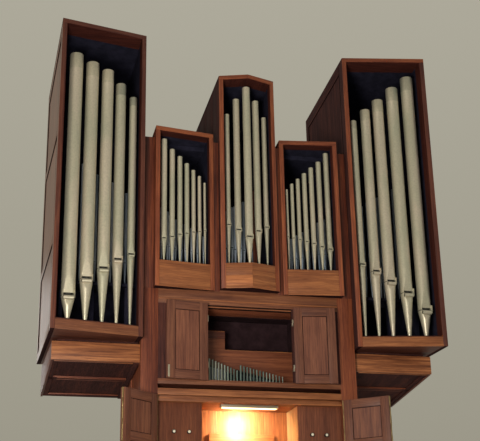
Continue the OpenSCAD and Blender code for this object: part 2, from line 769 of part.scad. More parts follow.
// A pair of folding leaves, opened, the second lying behind the first
module console_doors() color(mahogany) {
    barrel_r = 9;
    h = leaf_top - leaf_z;
    gap = 8;
    translate([stile_x + 6, -barrel_r - 5, leaf_z]) {
        cylinder(r = barrel_r, h = h);
        block([-4, 0, 0], [4, barrel_r + 5, h]);
        rotate([0, 0, leaf_open + 180]) {
            translate([barrel_r - 3, -leaf_t / 2, 0]) panelled(leaf_a, h, leaf_t, 1, 2);
            translate([barrel_r - 3 + leaf_a - leaf_b, leaf_t / 2 + gap, 0])
                panelled(leaf_b, h, leaf_t, 1, 2);
            translate([leaf_a + barrel_r - 3, (leaf_t + gap) / 2, 0])
                cylinder(r = barrel_r, h = h);
        }
    }
}

placed() plinth();
placed() case_sides();
placed() front_stiles();
placed() front_rails();
placed() flank_panels();
placed() shelf();
placed() console_panels();
placed() case_top();
placed() back_panels();
placed() mirror([1, 0, 0]) tower_sides();  // tower_left_sides
placed() mirror([1, 0, 0]) tower_roof();  // tower_left_roof
placed() mirror([1, 0, 0]) tower_floor();  // tower_left_floor
placed() mirror([1, 0, 0]) tower_pipes(tower_drop_left);  // tower_left_pipes
placed() tower_sides();  // tower_right_sides
placed() tower_roof();  // tower_right_roof
placed() tower_floor();  // tower_right_floor
placed() tower_pipes(tower_drop_right);  // tower_right_pipes
placed() mirror([1, 0, 0]) bracket();  // bracket_left
placed() bracket();  // bracket_right
placed() field_sides();
placed() field_roofs();
placed() field_aprons();
placed() mirror([1, 0, 0]) field_pipes();  // field_left_pipes
placed() field_pipes();  // field_right_pipes
placed() centre_sides();
placed() centre_roof();
placed() centre_apron();
placed() centre_pipes();
placed() brustwerk_shelves();
placed() brustwerk_sides();
placed() brustwerk_back();
placed() brustwerk_pipes();
placed() door_hinges();
placed() brustwerk_door_left();
placed() brustwerk_door_right();
placed() console_sides();
placed() console_backs();
placed() key_table();
placed() music_desk();
placed() manuals();
placed() stop_knobs();
placed() pedalboard();
placed() bench();
placed() mirror([1, 0, 0]) console_doors();  // console_doors_left
placed() console_doors();  // console_doors_right
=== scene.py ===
"""The looks of a pipe organ in a hung wooden case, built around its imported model."""

import json
import math
import random

import bmesh
import bpy
from mathutils import Matrix, Vector


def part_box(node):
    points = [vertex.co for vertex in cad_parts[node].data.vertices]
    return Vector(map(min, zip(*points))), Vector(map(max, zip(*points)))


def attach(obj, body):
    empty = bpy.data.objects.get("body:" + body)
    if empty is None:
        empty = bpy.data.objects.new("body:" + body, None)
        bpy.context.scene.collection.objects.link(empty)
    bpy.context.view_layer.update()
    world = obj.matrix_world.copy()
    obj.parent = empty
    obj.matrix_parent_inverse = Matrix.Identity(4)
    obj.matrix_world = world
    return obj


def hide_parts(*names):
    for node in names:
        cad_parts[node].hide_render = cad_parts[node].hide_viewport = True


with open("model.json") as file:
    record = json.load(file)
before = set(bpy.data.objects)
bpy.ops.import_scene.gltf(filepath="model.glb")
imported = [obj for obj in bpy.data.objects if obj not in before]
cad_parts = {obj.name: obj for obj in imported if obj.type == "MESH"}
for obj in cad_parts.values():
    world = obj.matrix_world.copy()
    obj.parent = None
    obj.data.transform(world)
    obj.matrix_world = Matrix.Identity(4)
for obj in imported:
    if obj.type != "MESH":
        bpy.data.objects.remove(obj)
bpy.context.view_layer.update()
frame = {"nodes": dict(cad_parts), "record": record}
NODES = frame["nodes"]

X, Y, Z = Vector((1, 0, 0)), Vector((0, 1, 0)), Vector((0, 0, 1))
# Y of the case front. Pieces are drawn with Y = 0 there and then moved by PLACE
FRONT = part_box("front_stiles")[0].y
PLACE = Matrix.Translation((0, FRONT, 0))
# Rounding of the boards' edges
EDGE = 0.0022


def rgb(red, green, blue):
    """A colour given as seen on a screen, 0 to 255, as linear light."""
    shares = (((c / 255 + 0.055) / 1.055) ** 2.4 if c > 10 else c / 3295 for c in (red, green, blue))
    return (*shares, 1)


# Camera, measured from the photograph's own lines
LENS = 81.72
CAMERA_AT = Vector((-2.7614, -10.6143, -0.4938))
PITCH, YAW, ROLL = math.radians(20.452), math.radians(14.988), math.radians(-1.165)


def add_camera():
    ahead = Vector((math.sin(YAW) * math.cos(PITCH), math.cos(YAW) * math.cos(PITCH), math.sin(PITCH)))
    level = Vector((math.cos(YAW), -math.sin(YAW), 0))
    above = level.cross(ahead)
    right = level * math.cos(ROLL) + above * math.sin(ROLL)
    up = above * math.cos(ROLL) - level * math.sin(ROLL)
    data = bpy.data.cameras.new("camera")
    data.lens = LENS
    data.sensor_width = 36
    data.clip_end = 200
    camera = bpy.data.objects.new("camera", data)
    turn = Matrix((right, up, -ahead)).transposed().to_4x4()
    camera.matrix_world = Matrix.Translation(CAMERA_AT) @ turn
    bpy.context.collection.objects.link(camera)
    bpy.context.scene.camera = camera


# Every material by its short key
STUFF = {}


class Nodes:
    """Short calls for building a node tree."""

    def __init__(self, tree):
        self.tree = tree
        tree.nodes.clear()

    def put(self, socket, value):
        """Links a node or a socket to an input, or sets the input to a plain value."""
        if isinstance(value, bpy.types.Node):
            value = value.outputs[2 if value.bl_idname == "ShaderNodeMix" else 0]
        if isinstance(value, bpy.types.NodeSocket):
            self.tree.links.new(value, socket)
        else:
            socket.default_value = value

    def add(self, kind, *values, **named):
        """A node, with its first inputs in order, and other inputs and settings by name."""
        node = self.tree.nodes.new("ShaderNode" + kind)
        for key, value in named.items():
            if key in node.bl_rna.properties and key not in node.inputs:
                setattr(node, key, value)
            else:
                self.put(node.inputs[key.replace("_", " ")], value)
        for socket, value in zip(node.inputs, values):
            self.put(socket, value)
        return node

    def math(self, operation, *values):
        return self.add("Math", *values, operation=operation)

    def noise(self, at, scale, detail, roughness, distortion=0.0):
        """Noise of one scale, or stretched by a scale for each direction."""
        if isinstance(scale, tuple):
            at, scale = self.add("Mapping", Vector=at, Scale=scale), 1.0
        return self.add("TexNoise", Vector=at, Scale=scale, Detail=detail, Roughness=roughness,
                        Distortion=distortion)

    def ramp(self, source, *stops):
        node = self.add("ValToRGB", source)
        elements = node.color_ramp.elements
        while len(elements) < len(stops):
            elements.new(0.5)
        for element, (place, colour) in zip(elements, stops):
            element.position = place
            element.color = colour
        return node

    def toned(self, amount, base, spots):
        """The base colour darkened by the spots, and lighter or darker by each board's own tone."""
        mixed = self.add("Mix", data_type="RGBA", blend_type="MULTIPLY")
        for key, value in ((0, amount), (6, base), (7, spots)):
            self.put(mixed.inputs[key], value)
        tone = self.add("Attribute", attribute_name="tone").outputs["Fac"]
        return self.add("HueSaturation", Color=mixed, Value=self.math("ADD", tone, 1.0))

    def finish(self, colour, clouds, rough, spread, bumps, strength, depth, **fixed):
        """The shader. Its roughness varies by spread with the clouds, and the bumps give its relief."""
        roughness = self.math("MULTIPLY_ADD", clouds, spread, rough - spread / 2)
        relief = self.add("Bump", Strength=strength, Distance=depth, Height=bumps)
        shader = self.add("BsdfPrincipled", colour, Roughness=roughness, Normal=relief, **fixed)
        self.add("OutputMaterial", shader)


def new_stuff(key, name):
    """The empty node tree of a new material, which is kept under its key."""
    STUFF[key] = bpy.data.materials.new(name)
    STUFF[key].use_nodes = True
    return Nodes(STUFF[key].node_tree)


def wood(key, dark, middle, light, gloss=0.5, figure=1.0, sheen=0.3):
    """Oiled wood whose grain runs along each board's own length."""
    n = new_stuff(key, "wood_" + key)
    grain = n.add("Attribute", attribute_name="grain").outputs["Vector"]
    clouds = n.noise(grain, (0.8, 7, 7), 4.0, 0.6, 0.7)
    streaks = n.noise(grain, (1.5, 38, 38), 5.0, 0.65, 0.3)
    lines = n.noise(grain, (2.4, 120, 120), 2.0, 0.5, 0.2)
    pores = n.noise(grain, (9, 260, 260), 2.0, 0.6)
    value = n.math("MULTIPLY", lines, 0.35 * figure)
    value = n.math("MULTIPLY_ADD", streaks, 0.45 * figure, value)
    value = n.math("MULTIPLY_ADD", clouds, 0.4 * figure, value)
    value = n.math("ADD", value, 0.5 - 0.6 * figure)
    base = n.ramp(value, (0.34, rgb(*dark)), (0.5, rgb(*middle)), (0.66, rgb(*light)))
    holes = n.ramp(pores, (0.36, (0.62, 0.56, 0.54, 1)), (0.52, (1, 1, 1, 1)))
    n.finish(n.toned(0.75, base, holes), streaks, gloss, 0.22, pores, 0.25, 0.0006, Specular_IOR_Level=sheen)


def tin(key, greenish, plain, pinkish, rough=0.42, metal=0.55):
    """Dull organ metal, an alloy of tin and lead with cloudy spots."""
    n = new_stuff(key, key)
    at = n.add("TexCoord").outputs["Object"]
    clouds = n.noise(at, (5, 5, 1.6), 3.0, 0.5, 0.4)
    spots = n.noise(at, 60.0, 3.0, 0.6)
    base = n.ramp(clouds, (0.36, rgb(*greenish)), (0.5, rgb(*plain)), (0.64, rgb(*pinkish)))
    dots = n.ramp(spots, (0.3, (0.82, 0.83, 0.84, 1)), (0.6, (1.04, 1.04, 1.03, 1)))
    n.finish(n.toned(0.7, base, dots), spots, rough, 0.16, spots, 0.12, 0.0008, Metallic=metal)


def smooth(key, colour, rough=0.5, speckle=0.1, size=90.0, metal=0.0, **fixed):
    """A smooth stuff whose colour and gloss vary a little."""
    n = new_stuff(key, key)
    noise = n.noise(n.add("TexCoord").outputs["Object"], size, 3.0, 0.6)
    low, high = ((*(min(1, c * share) for c in rgb(*colour)[:3]), 1) for share in (1 - speckle, 1 + speckle))
    colours = n.ramp(noise, (0.35, low), (0.65, high))
    n.finish(colours, noise, rough, 0.14, noise, 0.08, 0.0005, Metallic=metal, **fixed)


# The dim, inner and reveal woods are darker copies that paint shade: on faces turned from the light, under
# the boxes and inside them. The dark wood is real dark wood and also paints shade under the boxes. The lit
# wood is a lighter copy that paints light, and the outer wood's paler, greyer colour partly paints a sheen.
wood("edge", (88, 40, 24), (124, 64, 38), (156, 88, 50))
wood("dim", (62, 30, 24), (88, 47, 35), (112, 64, 44))
wood("front", (104, 57, 31), (136, 81, 46), (172, 109, 63))
wood("fascia", (98, 53, 29), (138, 82, 47), (176, 112, 66), figure=1.6)
wood("lit", (140, 78, 54), (168, 97, 66), (190, 115, 80), sheen=0.1)
wood("lintel", (84, 46, 30), (112, 66, 42), (142, 90, 56))
wood("stile", (62, 28, 20), (96, 46, 30), (134, 70, 40), figure=1.15)
wood("brown", (84, 48, 36), (108, 65, 47), (134, 86, 60))
wood("board", (84, 44, 28), (108, 60, 38), (136, 80, 50))
wood("outer", (80, 52, 38), (106, 71, 53), (138, 97, 76), gloss=0.42, sheen=0.5)
wood("inner", (46, 28, 26), (66, 41, 38), (92, 54, 44), gloss=0.75, sheen=0.04)
wood("dark", (30, 17, 18), (46, 26, 26), (66, 38, 34), gloss=0.75, sheen=0.04)
wood("reveal", (50, 24, 20), (66, 33, 27), (84, 42, 32), gloss=0.75, sheen=0.04)
wood("pale", (150, 108, 68), (178, 134, 88), (200, 158, 108))
wood("ebony", (12, 11, 11), (22, 19, 18), (38, 32, 29), gloss=0.38)
tin("pipe_tin", (181, 177, 152), (190, 182, 157), (199, 186, 163))
tin("sleeve_tin", (138, 141, 122), (168, 162, 140), (190, 180, 154))
tin("small_pipe_tin", (104, 120, 112), (136, 146, 134), (172, 174, 158), 0.3, 0.75)
tin("inner_blue_tin", (148, 162, 178), (172, 182, 194), (196, 200, 206), 0.4, 0.4)
# The hollow dark paints the shade inside the pipes and round their mouths
smooth("hollow_dark", (46, 43, 36), 0.85)
# Dark sheets that paint the shade deep inside the boxes of pipes: bluish in the towers, fields and centre,
# reddish in the small division
smooth("lining_dark", (35, 34, 46), 0.9, 0.25, 12.0, Specular_IOR_Level=0.05)
smooth("box_lining", (43, 29, 31), 0.9, 0.25, 12.0, Specular_IOR_Level=0.05)
smooth("pipe_shade", (34, 36, 33), 0.9, 0.2, 60.0, Specular_IOR_Level=0.05)
smooth("shadow_gap", (30, 17, 14), 0.9, 0.2, 30.0, Specular_IOR_Level=0.05)
smooth("brass", (140, 118, 80), 0.4, 0.12, 120.0, 0.9)
smooth("bolt_steel", (186, 178, 156), 0.36, 0.1, 160.0, 0.8)
smooth("key_bone", (228, 218, 190), 0.28, 0.03, 30.0)
smooth("lamp_glow", (250, 214, 150), 0.5, 0.02, 30.0, Emission_Color=(1.0, 0.7, 0.36, 1),
       Emission_Strength=4.0)
smooth("floor_pale", (206, 203, 194), 0.75, 0.03, 6.0)


def block(x0, x1, y0, y1):
    """The outline of a plain rectangle."""
    return [(x0, y0), (x1, y0), (x1, y1), (x0, y1)]


def circle(steps):
    """Angles of a full turn in equal steps."""
    return [math.tau * i / steps for i in range(steps)]


def parts(start, end, count):
    """The ends of the equal parts of a range, in pairs."""
    ends = [start + (end - start) * i / count for i in range(count + 1)]
    return zip(ends, ends[1:])


class Joinery:
    """The boards of one piece, gathered in one mesh. Each keeps its own run of grain."""

    def __init__(self, name, side=1):
        self.name = name
        self.side = side
        self.bm = bmesh.new()
        self.grain = self.bm.verts.layers.float_vector.new("grain")
        self.tone = self.bm.verts.layers.float.new("tone")
        self.luck = random.Random(name)
        # -1 while pieces are drawn for the left as mirror images of the right
        self.flip = 1

    def solid(self, rings, along, cuts=(), edge=EDGE, tone=0.07, move=None, slot=0):
        """A board from its first and last ring of points, cut by planes, its edges rounded."""
        part = bmesh.new()
        low, high = [[part.verts.new(p) for p in ring] for ring in rings]
        part.faces.new(low[::-1])
        part.faces.new(high)
        for i in range(len(low)):
            j = (i + 1) % len(low)
            part.faces.new((low[i], low[j], high[j], high[i]))
        bmesh.ops.recalc_face_normals(part, faces=part.faces)
        for point, normal in cuts:
            every = part.verts[:] + part.edges[:] + part.faces[:]
            bmesh.ops.bisect_plane(part, geom=every, plane_co=point, plane_no=normal, clear_outer=True)
            bmesh.ops.holes_fill(part, edges=[e for e in part.edges if e.is_boundary])
        if not part.faces:
            return
        if edge:
            rounded(part, part.edges[:], edge)
        self.take(part, along, tone, move, slot)

    def take(self, part, along, tone=0.07, move=None, slot=0):
        """Adds a finished body, with grain coordinates along one direction."""
        across = (Z if abs(along.z) < 0.9 else X).cross(along).normalized()
        third = along.cross(across)
        start = Vector([self.luck.uniform(-20, 20) for _ in range(3)])
        shade = self.luck.uniform(*(tone if isinstance(tone, tuple) else (-tone, tone)))
        made = {}
        for v in part.verts:
            at = v.co
            placed = move @ at if move else at.copy()
            placed.x *= self.flip
            new = self.bm.verts.new(placed)
            new[self.grain] = Vector((at.dot(along), at.dot(across), at.dot(third))) + start
            new[self.tone] = shade
            made[v] = new
        for f in part.faces:
            corners = [made[v] for v in f.verts]
            face = self.bm.faces.new(corners[::self.flip])
            face.material_index = slot or f.material_index
            face.smooth = f.smooth
        part.free()

    def prism(self, outline, z0, z1, along, **more):
        """A plan outline carried up from z0 to z1."""
        self.solid([[(x, y, z) for x, y in outline] for z in (z0, z1)], along, **more)

    def box(self, low, high, along, **more):
        self.prism(block(low[0], high[0], low[1], high[1]), low[2], high[2], along, **more)

    def bar(self, x0, x1, outline, along=X, **more):
        """An outline in the YZ plane carried along X."""
        self.solid([[(x, y, z) for y, z in outline] for x in (x0, x1)], along, **more)

    def turned(self, profile, at, axis=Z, steps=20, tone=0.04):
        """A turned body: radius and height pairs revolved round an axis that starts at a point."""
        part = bmesh.new()
        rows = [[part.verts.new((r * math.cos(a), r * math.sin(a), h)) for a in circle(steps)] if r > 0
                else [part.verts.new((0, 0, h))] * steps for r, h in profile]
        for low, high in zip(rows, rows[1:]):
            for i in range(steps):
                j = (i + 1) % steps
                # A row at the axis is one point, so its faces are triangles
                corners = list(dict.fromkeys((low[i], low[j], high[j], high[i])))
                if len(corners) > 2:
                    part.faces.new(corners).smooth = True
        turn = Z.rotation_difference(axis).to_matrix().to_4x4()
        bmesh.ops.transform(part, matrix=Matrix.Translation(at) @ turn, verts=part.verts)
        self.take(part, axis, tone)

    def finish(self, materials, slot, nodes=(), body="root"):
        """Makes the object from the keys of its materials and seats it on its body."""
        move = PLACE @ Matrix.Diagonal((self.side, 1, 1, 1))
        bmesh.ops.transform(self.bm, matrix=move, verts=self.bm.verts)
        if self.side < 0:
            bmesh.ops.reverse_faces(self.bm, faces=self.bm.faces)
        mesh = bpy.data.meshes.new(self.name)
        self.bm.to_mesh(mesh)
        self.bm.free()
        mesh.set_sharp_from_angle(angle=math.radians(35))
        for key in materials.split():
            mesh.materials.append(STUFF[key])
        piece = bpy.data.objects.new(self.name, mesh)
        bpy.context.collection.objects.link(piece)
        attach(piece, body)
        if nodes:
            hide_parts(*nodes)
        return piece


def rounded(part, edges, offset):
    bmesh.ops.bevel(part, geom=edges, offset=offset, offset_type="OFFSET", segments=2, profile=0.6,
                    affect="EDGES", clamp_overlap=True)


# Thickness of the boards round the pipes, width of the panels' frames and how deep the panels are sunk
T, FRAME_W, SINK = 0.044, 0.085, 0.009


def framed(j, w, h, t, place, cols=1, rows=1, sink=SINK, cuts=(), tones=0.09, gap=0.0, shades=(0.0, 0.0)):
    """A frame-and-panel board drawn with x across, y through and z up, then moved by place.

    A gap draws dark lines of that width round the panels, in the second material. The shades lighten or
    darken the frame and the panels."""
    width = (w - (cols + 1) * FRAME_W) / cols
    step = (h - FRAME_W) / rows
    inner = place.inverted()
    local = [(inner @ Vector(p), inner.to_3x3() @ Vector(n)) for p, n in cuts]

    def piece(x0, x1, z0, z1, along, y=(0, t), shade=shades[0], **more):
        tone = (shade - tones, shade + tones)
        j.box((x0, y[0], z0), (x1, y[1], z1), along, move=place, cuts=local, tone=tone, **more)

    for x in (0, w - FRAME_W):
        piece(x, x + FRAME_W, 0, h, Z)
    for i in range(rows + 1):
        piece(FRAME_W, w - FRAME_W, i * step, i * step + FRAME_W, X)
    for i in range(rows):
        z0, z1 = i * step + FRAME_W, (i + 1) * step
        for k in range(1, cols):
            x = k * (width + FRAME_W)
            piece(x, x + FRAME_W, z0, z1, Z)
        for k in range(cols):
            x = FRAME_W + k * (width + FRAME_W)
            piece(x, x + width, z0, z1, Z, (sink, t - sink), shades[1], edge=0)
            if not gap:
                continue
            xa, xb = x + gap, x + width - gap
            lines = ((x, xa, z0, z1), (xb, x + width, z0, z1), (xa, xb, z0, z0 + gap), (xa, xb, z1 - gap, z1))
            for y in ((sink - 0.0006, sink), (t - sink, t - sink + 0.0006)):
                for line in lines:
                    piece(*line, Z, y, edge=0, slot=1)


def place_at(x, y, z, across=X):
    """A matrix that lays local x along across and keeps local z upright."""
    m = Matrix((across, Z.cross(across), Z)).transposed().to_4x4()
    m.translation = (x, y, z)
    return m


def local_points(node):
    """The vertices of a CAD node, with the case front at Y = 0."""
    return [v.co - Vector((0, FRONT, 0)) for v in NODES[node].data.vertices]


def front_of(node, x):
    """The foremost Y of a node's vertices at one distance from the middle."""
    return min(p.y for p in local_points(node) if abs(p.x - x) < 0.002)


def deepest(node):
    return max(p.y for p in local_points(node))


def top_plane(node):
    """A point on the node's largest face that looks up, and its normal, drawn on the right-hand side."""
    mesh = NODES[node].data
    best = max((p for p in mesh.polygons if p.normal.z > 0.9 and p.center.x > -0.05), key=lambda p: p.area)
    return best.center - Vector((0, FRONT, 0)), best.normal.copy()


def lowered(plane, drop):
    return plane[0] - Z * drop, plane[1]


def flipped(plane):
    return plane[0], -plane[1]


CASE_HW, CASE_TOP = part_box("case_sides")[1].x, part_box("case_sides")[1].z
CASE_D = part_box("plinth")[1].y - FRONT
PLINTH_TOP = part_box("plinth")[1].z
BOARD = CASE_HW - max(p.x for p in local_points("case_top"))
STILE_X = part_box("shelf")[1].x
# Small doors: thickness, gap when closed, length of a hinge knuckle and heights of the hinges
DOOR_T, DOOR_GAP, HINGE_LEN = 0.022, 0.006, 0.030
HINGE_ZS = (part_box("door_hinges")[0].z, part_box("door_hinges")[1].z - 2 * HINGE_LEN)
# Folding doors: widths of the leaves, thickness, radius of their barrels, gap between them and opening
LEAF_A, LEAF_B, LEAF_T, LEAF_BARREL, LEAF_GAP, LEAF_OPEN = 0.462, 0.430, 0.022, 0.009, 0.008, 140
# Keys: naturals in a manual, their visible length, height of the sharps, rise and set-back of a manual
NATURALS, KEY_REACH, SHARP_H, MANUAL_RISE, MANUAL_STEP = 33, 0.142, 0.011, 0.078, 0.108
KNOB_STEP, PEDAL_PITCH = 0.145, 0.062
# Pipes, as shares of a diameter: width of the lips, and the root and the tip of an ear in plan
LIP_SHARE, EAR_PLAN = 0.74, ((0.356, -0.328), (0.4365, -0.505))
# Depth of the facing on the boxes' front edges, width of the shadow gaps round panels, thickness of the
# dark boards that paint the shade under the hung boxes, and how far thin dark lines lie off a face
LIP, GAP, UNDER_T, SKIN = 0.007, 0.006, 0.0015, 0.0004


class HungBox:
    """A hung box of pipes with a slanted front, measured on its CAD nodes on the right-hand side."""

    def __init__(self, sides, roof, floor, pointed=False):
        points = [p for p in local_points(sides) if p.x > 0]
        self.x0 = 0 if pointed else min(p.x for p in points)
        self.x1, self.back = max(p.x for p in points), max(p.y for p in points)
        self.y0, self.y1 = front_of(roof if pointed else sides, self.x0), front_of(sides, self.x1)
        self.z0, self.toe, self.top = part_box(sides)[0].z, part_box(floor)[1].z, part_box(roof)[1].z + 0.4
        self.roof = top_plane(roof)
        self.under = lowered(self.roof, T)
        self.slant = Vector((self.x1 - self.x0, self.y1 - self.y0, 0)).normalized()
        # Inner faces of the sides, or the middle of a pointed box
        self.xa, self.xb = 0 if pointed else self.x0 + T, self.x1 - T

    def plan(self, xa, xb, inset, back):
        """An outline behind the slanted front, set back by inset, as far as a straight back."""
        width, fall = self.x1 - self.x0, self.y1 - self.y0
        ya, yb = (self.y0 + (x - self.x0) * fall / width + inset for x in (xa, xb))
        return [(xa, ya), (xb, yb), (xb, back), (xa, back)]

    def strip(self, xa, xb, near, far):
        """An outline along the slanted front, from one set-back to another."""
        return self.plan(xa, xb, near, 0)[:2] + self.plan(xa, xb, far, 0)[1::-1]

    def upright(self, j, outline, low, along=Z, **more):
        """A board from low up to the roof's underside."""
        j.prism(outline, low, self.top, along, cuts=[self.under], **more)

    def slab(self, j, outline, over, thick, along, **more):
        """A board that slopes as the roof does, below one plane."""
        j.prism(outline, self.z0 + 1, self.top, along, cuts=[over, flipped(lowered(over, thick))], **more)

    def cheek(self, j, x, back, facing=0, **more):
        """A side board and the facing on its front edge."""
        self.upright(j, self.strip(x, x + T, 0, LIP), self.z0, slot=facing)
        self.upright(j, self.plan(x, x + T, LIP, back), self.z0, **more)

    def eaves(self, j, back):
        """The front of the roof and its facing."""
        self.slab(j, self.strip(self.x0, self.x1, 0, LIP), self.roof, T, self.slant)
        self.slab(j, self.plan(self.x0, self.x1, LIP, back), self.roof, T, self.slant, slot=1)

    def apron(self, j, x, back, lip_h, **more):
        """Under the apron's face: its lower lip, the box's floor, the toe board and the shaded underside."""
        j.prism(self.strip(self.xa, self.xb, -0.0005, 0.05), self.z0, self.z0 + lip_h, self.slant, **more)
        j.prism(self.plan(self.xa, self.xb, 0.05, back), self.z0, self.z0 + T, self.slant)
        j.prism(self.plan(self.xa, self.xb, 0.03, back), self.toe - 0.05, self.toe, self.slant, slot=1)
        shade = self.plan(x, self.x1 - 0.003, 0.006, -0.001)
        j.prism(shade, self.z0 - UNDER_T, self.z0, self.slant, slot=2, edge=0)

    def lined(self, j, x, thin, deep, back):
        """Lining on a side's inner face: wood as far as deep, and behind it a dark sheet that paints the
        shade inside the box.
        """
        self.upright(j, self.plan(x, x + thin, deep, back), self.toe, edge=0)
        self.upright(j, self.strip(x, x + thin, LIP, deep), self.toe, edge=0, slot=1)


def tower(side, label):
    """A pedal tower: its sides, roof, floor, wind chest, and a dark lining that paints the shade inside it.
    """
    sides, roof, floor = (f"tower_{label}_{part}" for part in ("sides", "roof", "floor"))
    b = HungBox("tower_right_sides", "tower_right_roof", "tower_right_floor")
    x0, x1, xa, xb, z0, toe = b.x0, b.x1, b.xa, b.xb, b.z0, b.toe
    # The left tower's front lies in the shade, and its outer side catches the light
    facing, outer, rail = ("dim", "outer", "lintel") if side < 0 else ("edge", "brown", "front")
    back, back_stile = CASE_D - BOARD, CASE_D - FRAME_W
    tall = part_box("tower_right_roof")[1].z - z0
    rails = [z0 + FRAME_W / 2, z0 + 0.28 * tall, z0 + 0.63 * tall]
    upper = lowered(b.under, FRAME_W)

    j = Joinery(sides + "_boards", side)
    for x, out in ((x0, -1), (xb, 1)):
        # The side towards the middle is in the inner wood, which paints shade on it
        wood_slot = 1 if out < 0 else 2
        stile_y = b.plan(x, x1, 0, 0)[0][1] + FRAME_W + 0.03

        def outline(shallow, deep, ya=stile_y, yb=back_stile, face=x if out < 0 else x + T, out=out):
            """A rectangle between two depths below the outer face."""
            return block(*sorted((face - out * shallow, face - out * deep)), ya, yb)

        # On the outer side the front edge's facing is in the dim wood, which paints shade on it
        b.cheek(j, x, stile_y, 0 if out < 0 else 4, slot=wood_slot, tone=(0.02, 0.06))
        b.upright(j, outline(0, T, back_stile, CASE_D), z0, slot=wood_slot)
        for z in rails:
            j.prism(outline(0, T), z - FRAME_W / 2, z + FRAME_W / 2, Y, slot=wood_slot)
        j.prism(outline(0, T), z0 + 2, b.top, Y, cuts=[b.under, flipped(upper)], slot=wood_slot)
        for i, z in enumerate(rails):
            low, high = z + FRAME_W / 2, rails[i + 1] - FRAME_W / 2 if i < 2 else b.top
            j.prism(outline(SINK, T), low, high, Z, edge=0, cuts=[upper], tone=0.1, slot=wood_slot)
            # Shadow gaps along the panel's upright and upper edges
            for y in (stile_y, back_stile - GAP):
                j.prism(outline(SKIN, SINK, y, y + GAP), low, high, Z, edge=0, cuts=[upper], slot=3)
            cuts, z_gap = ([], high - GAP) if i < 2 else ([upper, flipped(lowered(upper, GAP))], low)
            j.prism(outline(SKIN, SINK, yb=back_stile - GAP), z_gap, high, Y, edge=0, cuts=cuts, slot=3)
        # A dark strip on the stile's face at its rear edge, a painted shadow line
        b.upright(j, outline(0, -SKIN, stile_y - 2 * GAP, stile_y), z0, edge=0, slot=3)
        # The underside lies in shade
        j.prism(b.plan(x + 0.002, x + T - 0.002, 0.003, CASE_D - 0.003), z0 - UNDER_T, z0, Y, edge=0, slot=5)
    j.finish(f"{facing} inner {outer} shadow_gap dim dark", "case_wood", [sides])

    j = Joinery(roof + "_boards", side)
    split = b.y0 + 0.4
    b.eaves(j, split)
    for ya, yb in parts(split, CASE_D, 3):
        b.slab(j, block(x0, x1, ya, yb), b.roof, T, X, slot=1)
    j.finish(facing + " inner", "case_wood", [roof])

    j = Joinery(floor + "_boards", side)
    split = b.y1 + 0.35
    j.prism(b.plan(xa, xb, 0.02, split), z0, z0 + T, b.slant, slot=1)
    j.box((xa, split, z0), (xb, back, z0 + T), X, slot=1)
    j.prism(b.strip(xa, xb, 0.004, 0.03), z0 + T - 0.02, z0 + 0.1, b.slant)
    j.prism(b.strip(xa, xb, -0.0005, 0.02), z0, z0 + T - 0.004, b.slant)
    j.prism(b.plan(xa, xb, 0.042, 0.42), z0 + T, toe, b.slant, slot=2)
    j.finish(rail + " dim inner", "front_wood", [floor])

    # Dark sheets that paint the shade deep inside the tower, with the inner chest in the same dark
    j = Joinery(f"tower_{label}_lining", side)
    thin, deep = 0.006, 0.19
    for x in (xa, xb - thin):
        b.lined(j, x, thin, 0.11, back)
    b.upright(j, block(xa, xb, back - 2 * thin, back - thin), toe, edge=0)
    b.slab(j, b.plan(xa, xb, deep, back), b.under, thin, X, edge=0)
    b.slab(j, b.strip(xa, xb, LIP, deep), b.under, thin, X, edge=0, slot=1)
    j.box((xa, 0.43, toe - 0.09), (xb, back, toe - 0.084), X, edge=0)
    # An inner rank on a chest of its own behind the front pipes
    chest, chest_t = toe + 0.46, 0.03
    j.box((xa, 0.09, chest - chest_t), (xb, 0.34, chest), X)
    for x in (xa + 0.06, (xa + xb) / 2, xb - 0.10):
        j.box((x, 0.14, toe), (x + 0.04, 0.20, chest - chest_t), Z)
    j.finish("lining_dark reveal", "dark_wood")
    inner_pipes(f"tower_{label}_inner_pipes", side, chest, 13, (xa + 0.045, 0.05), (0.15, 0.04),
                (0.036, -0.001), (0.95, 0.03))


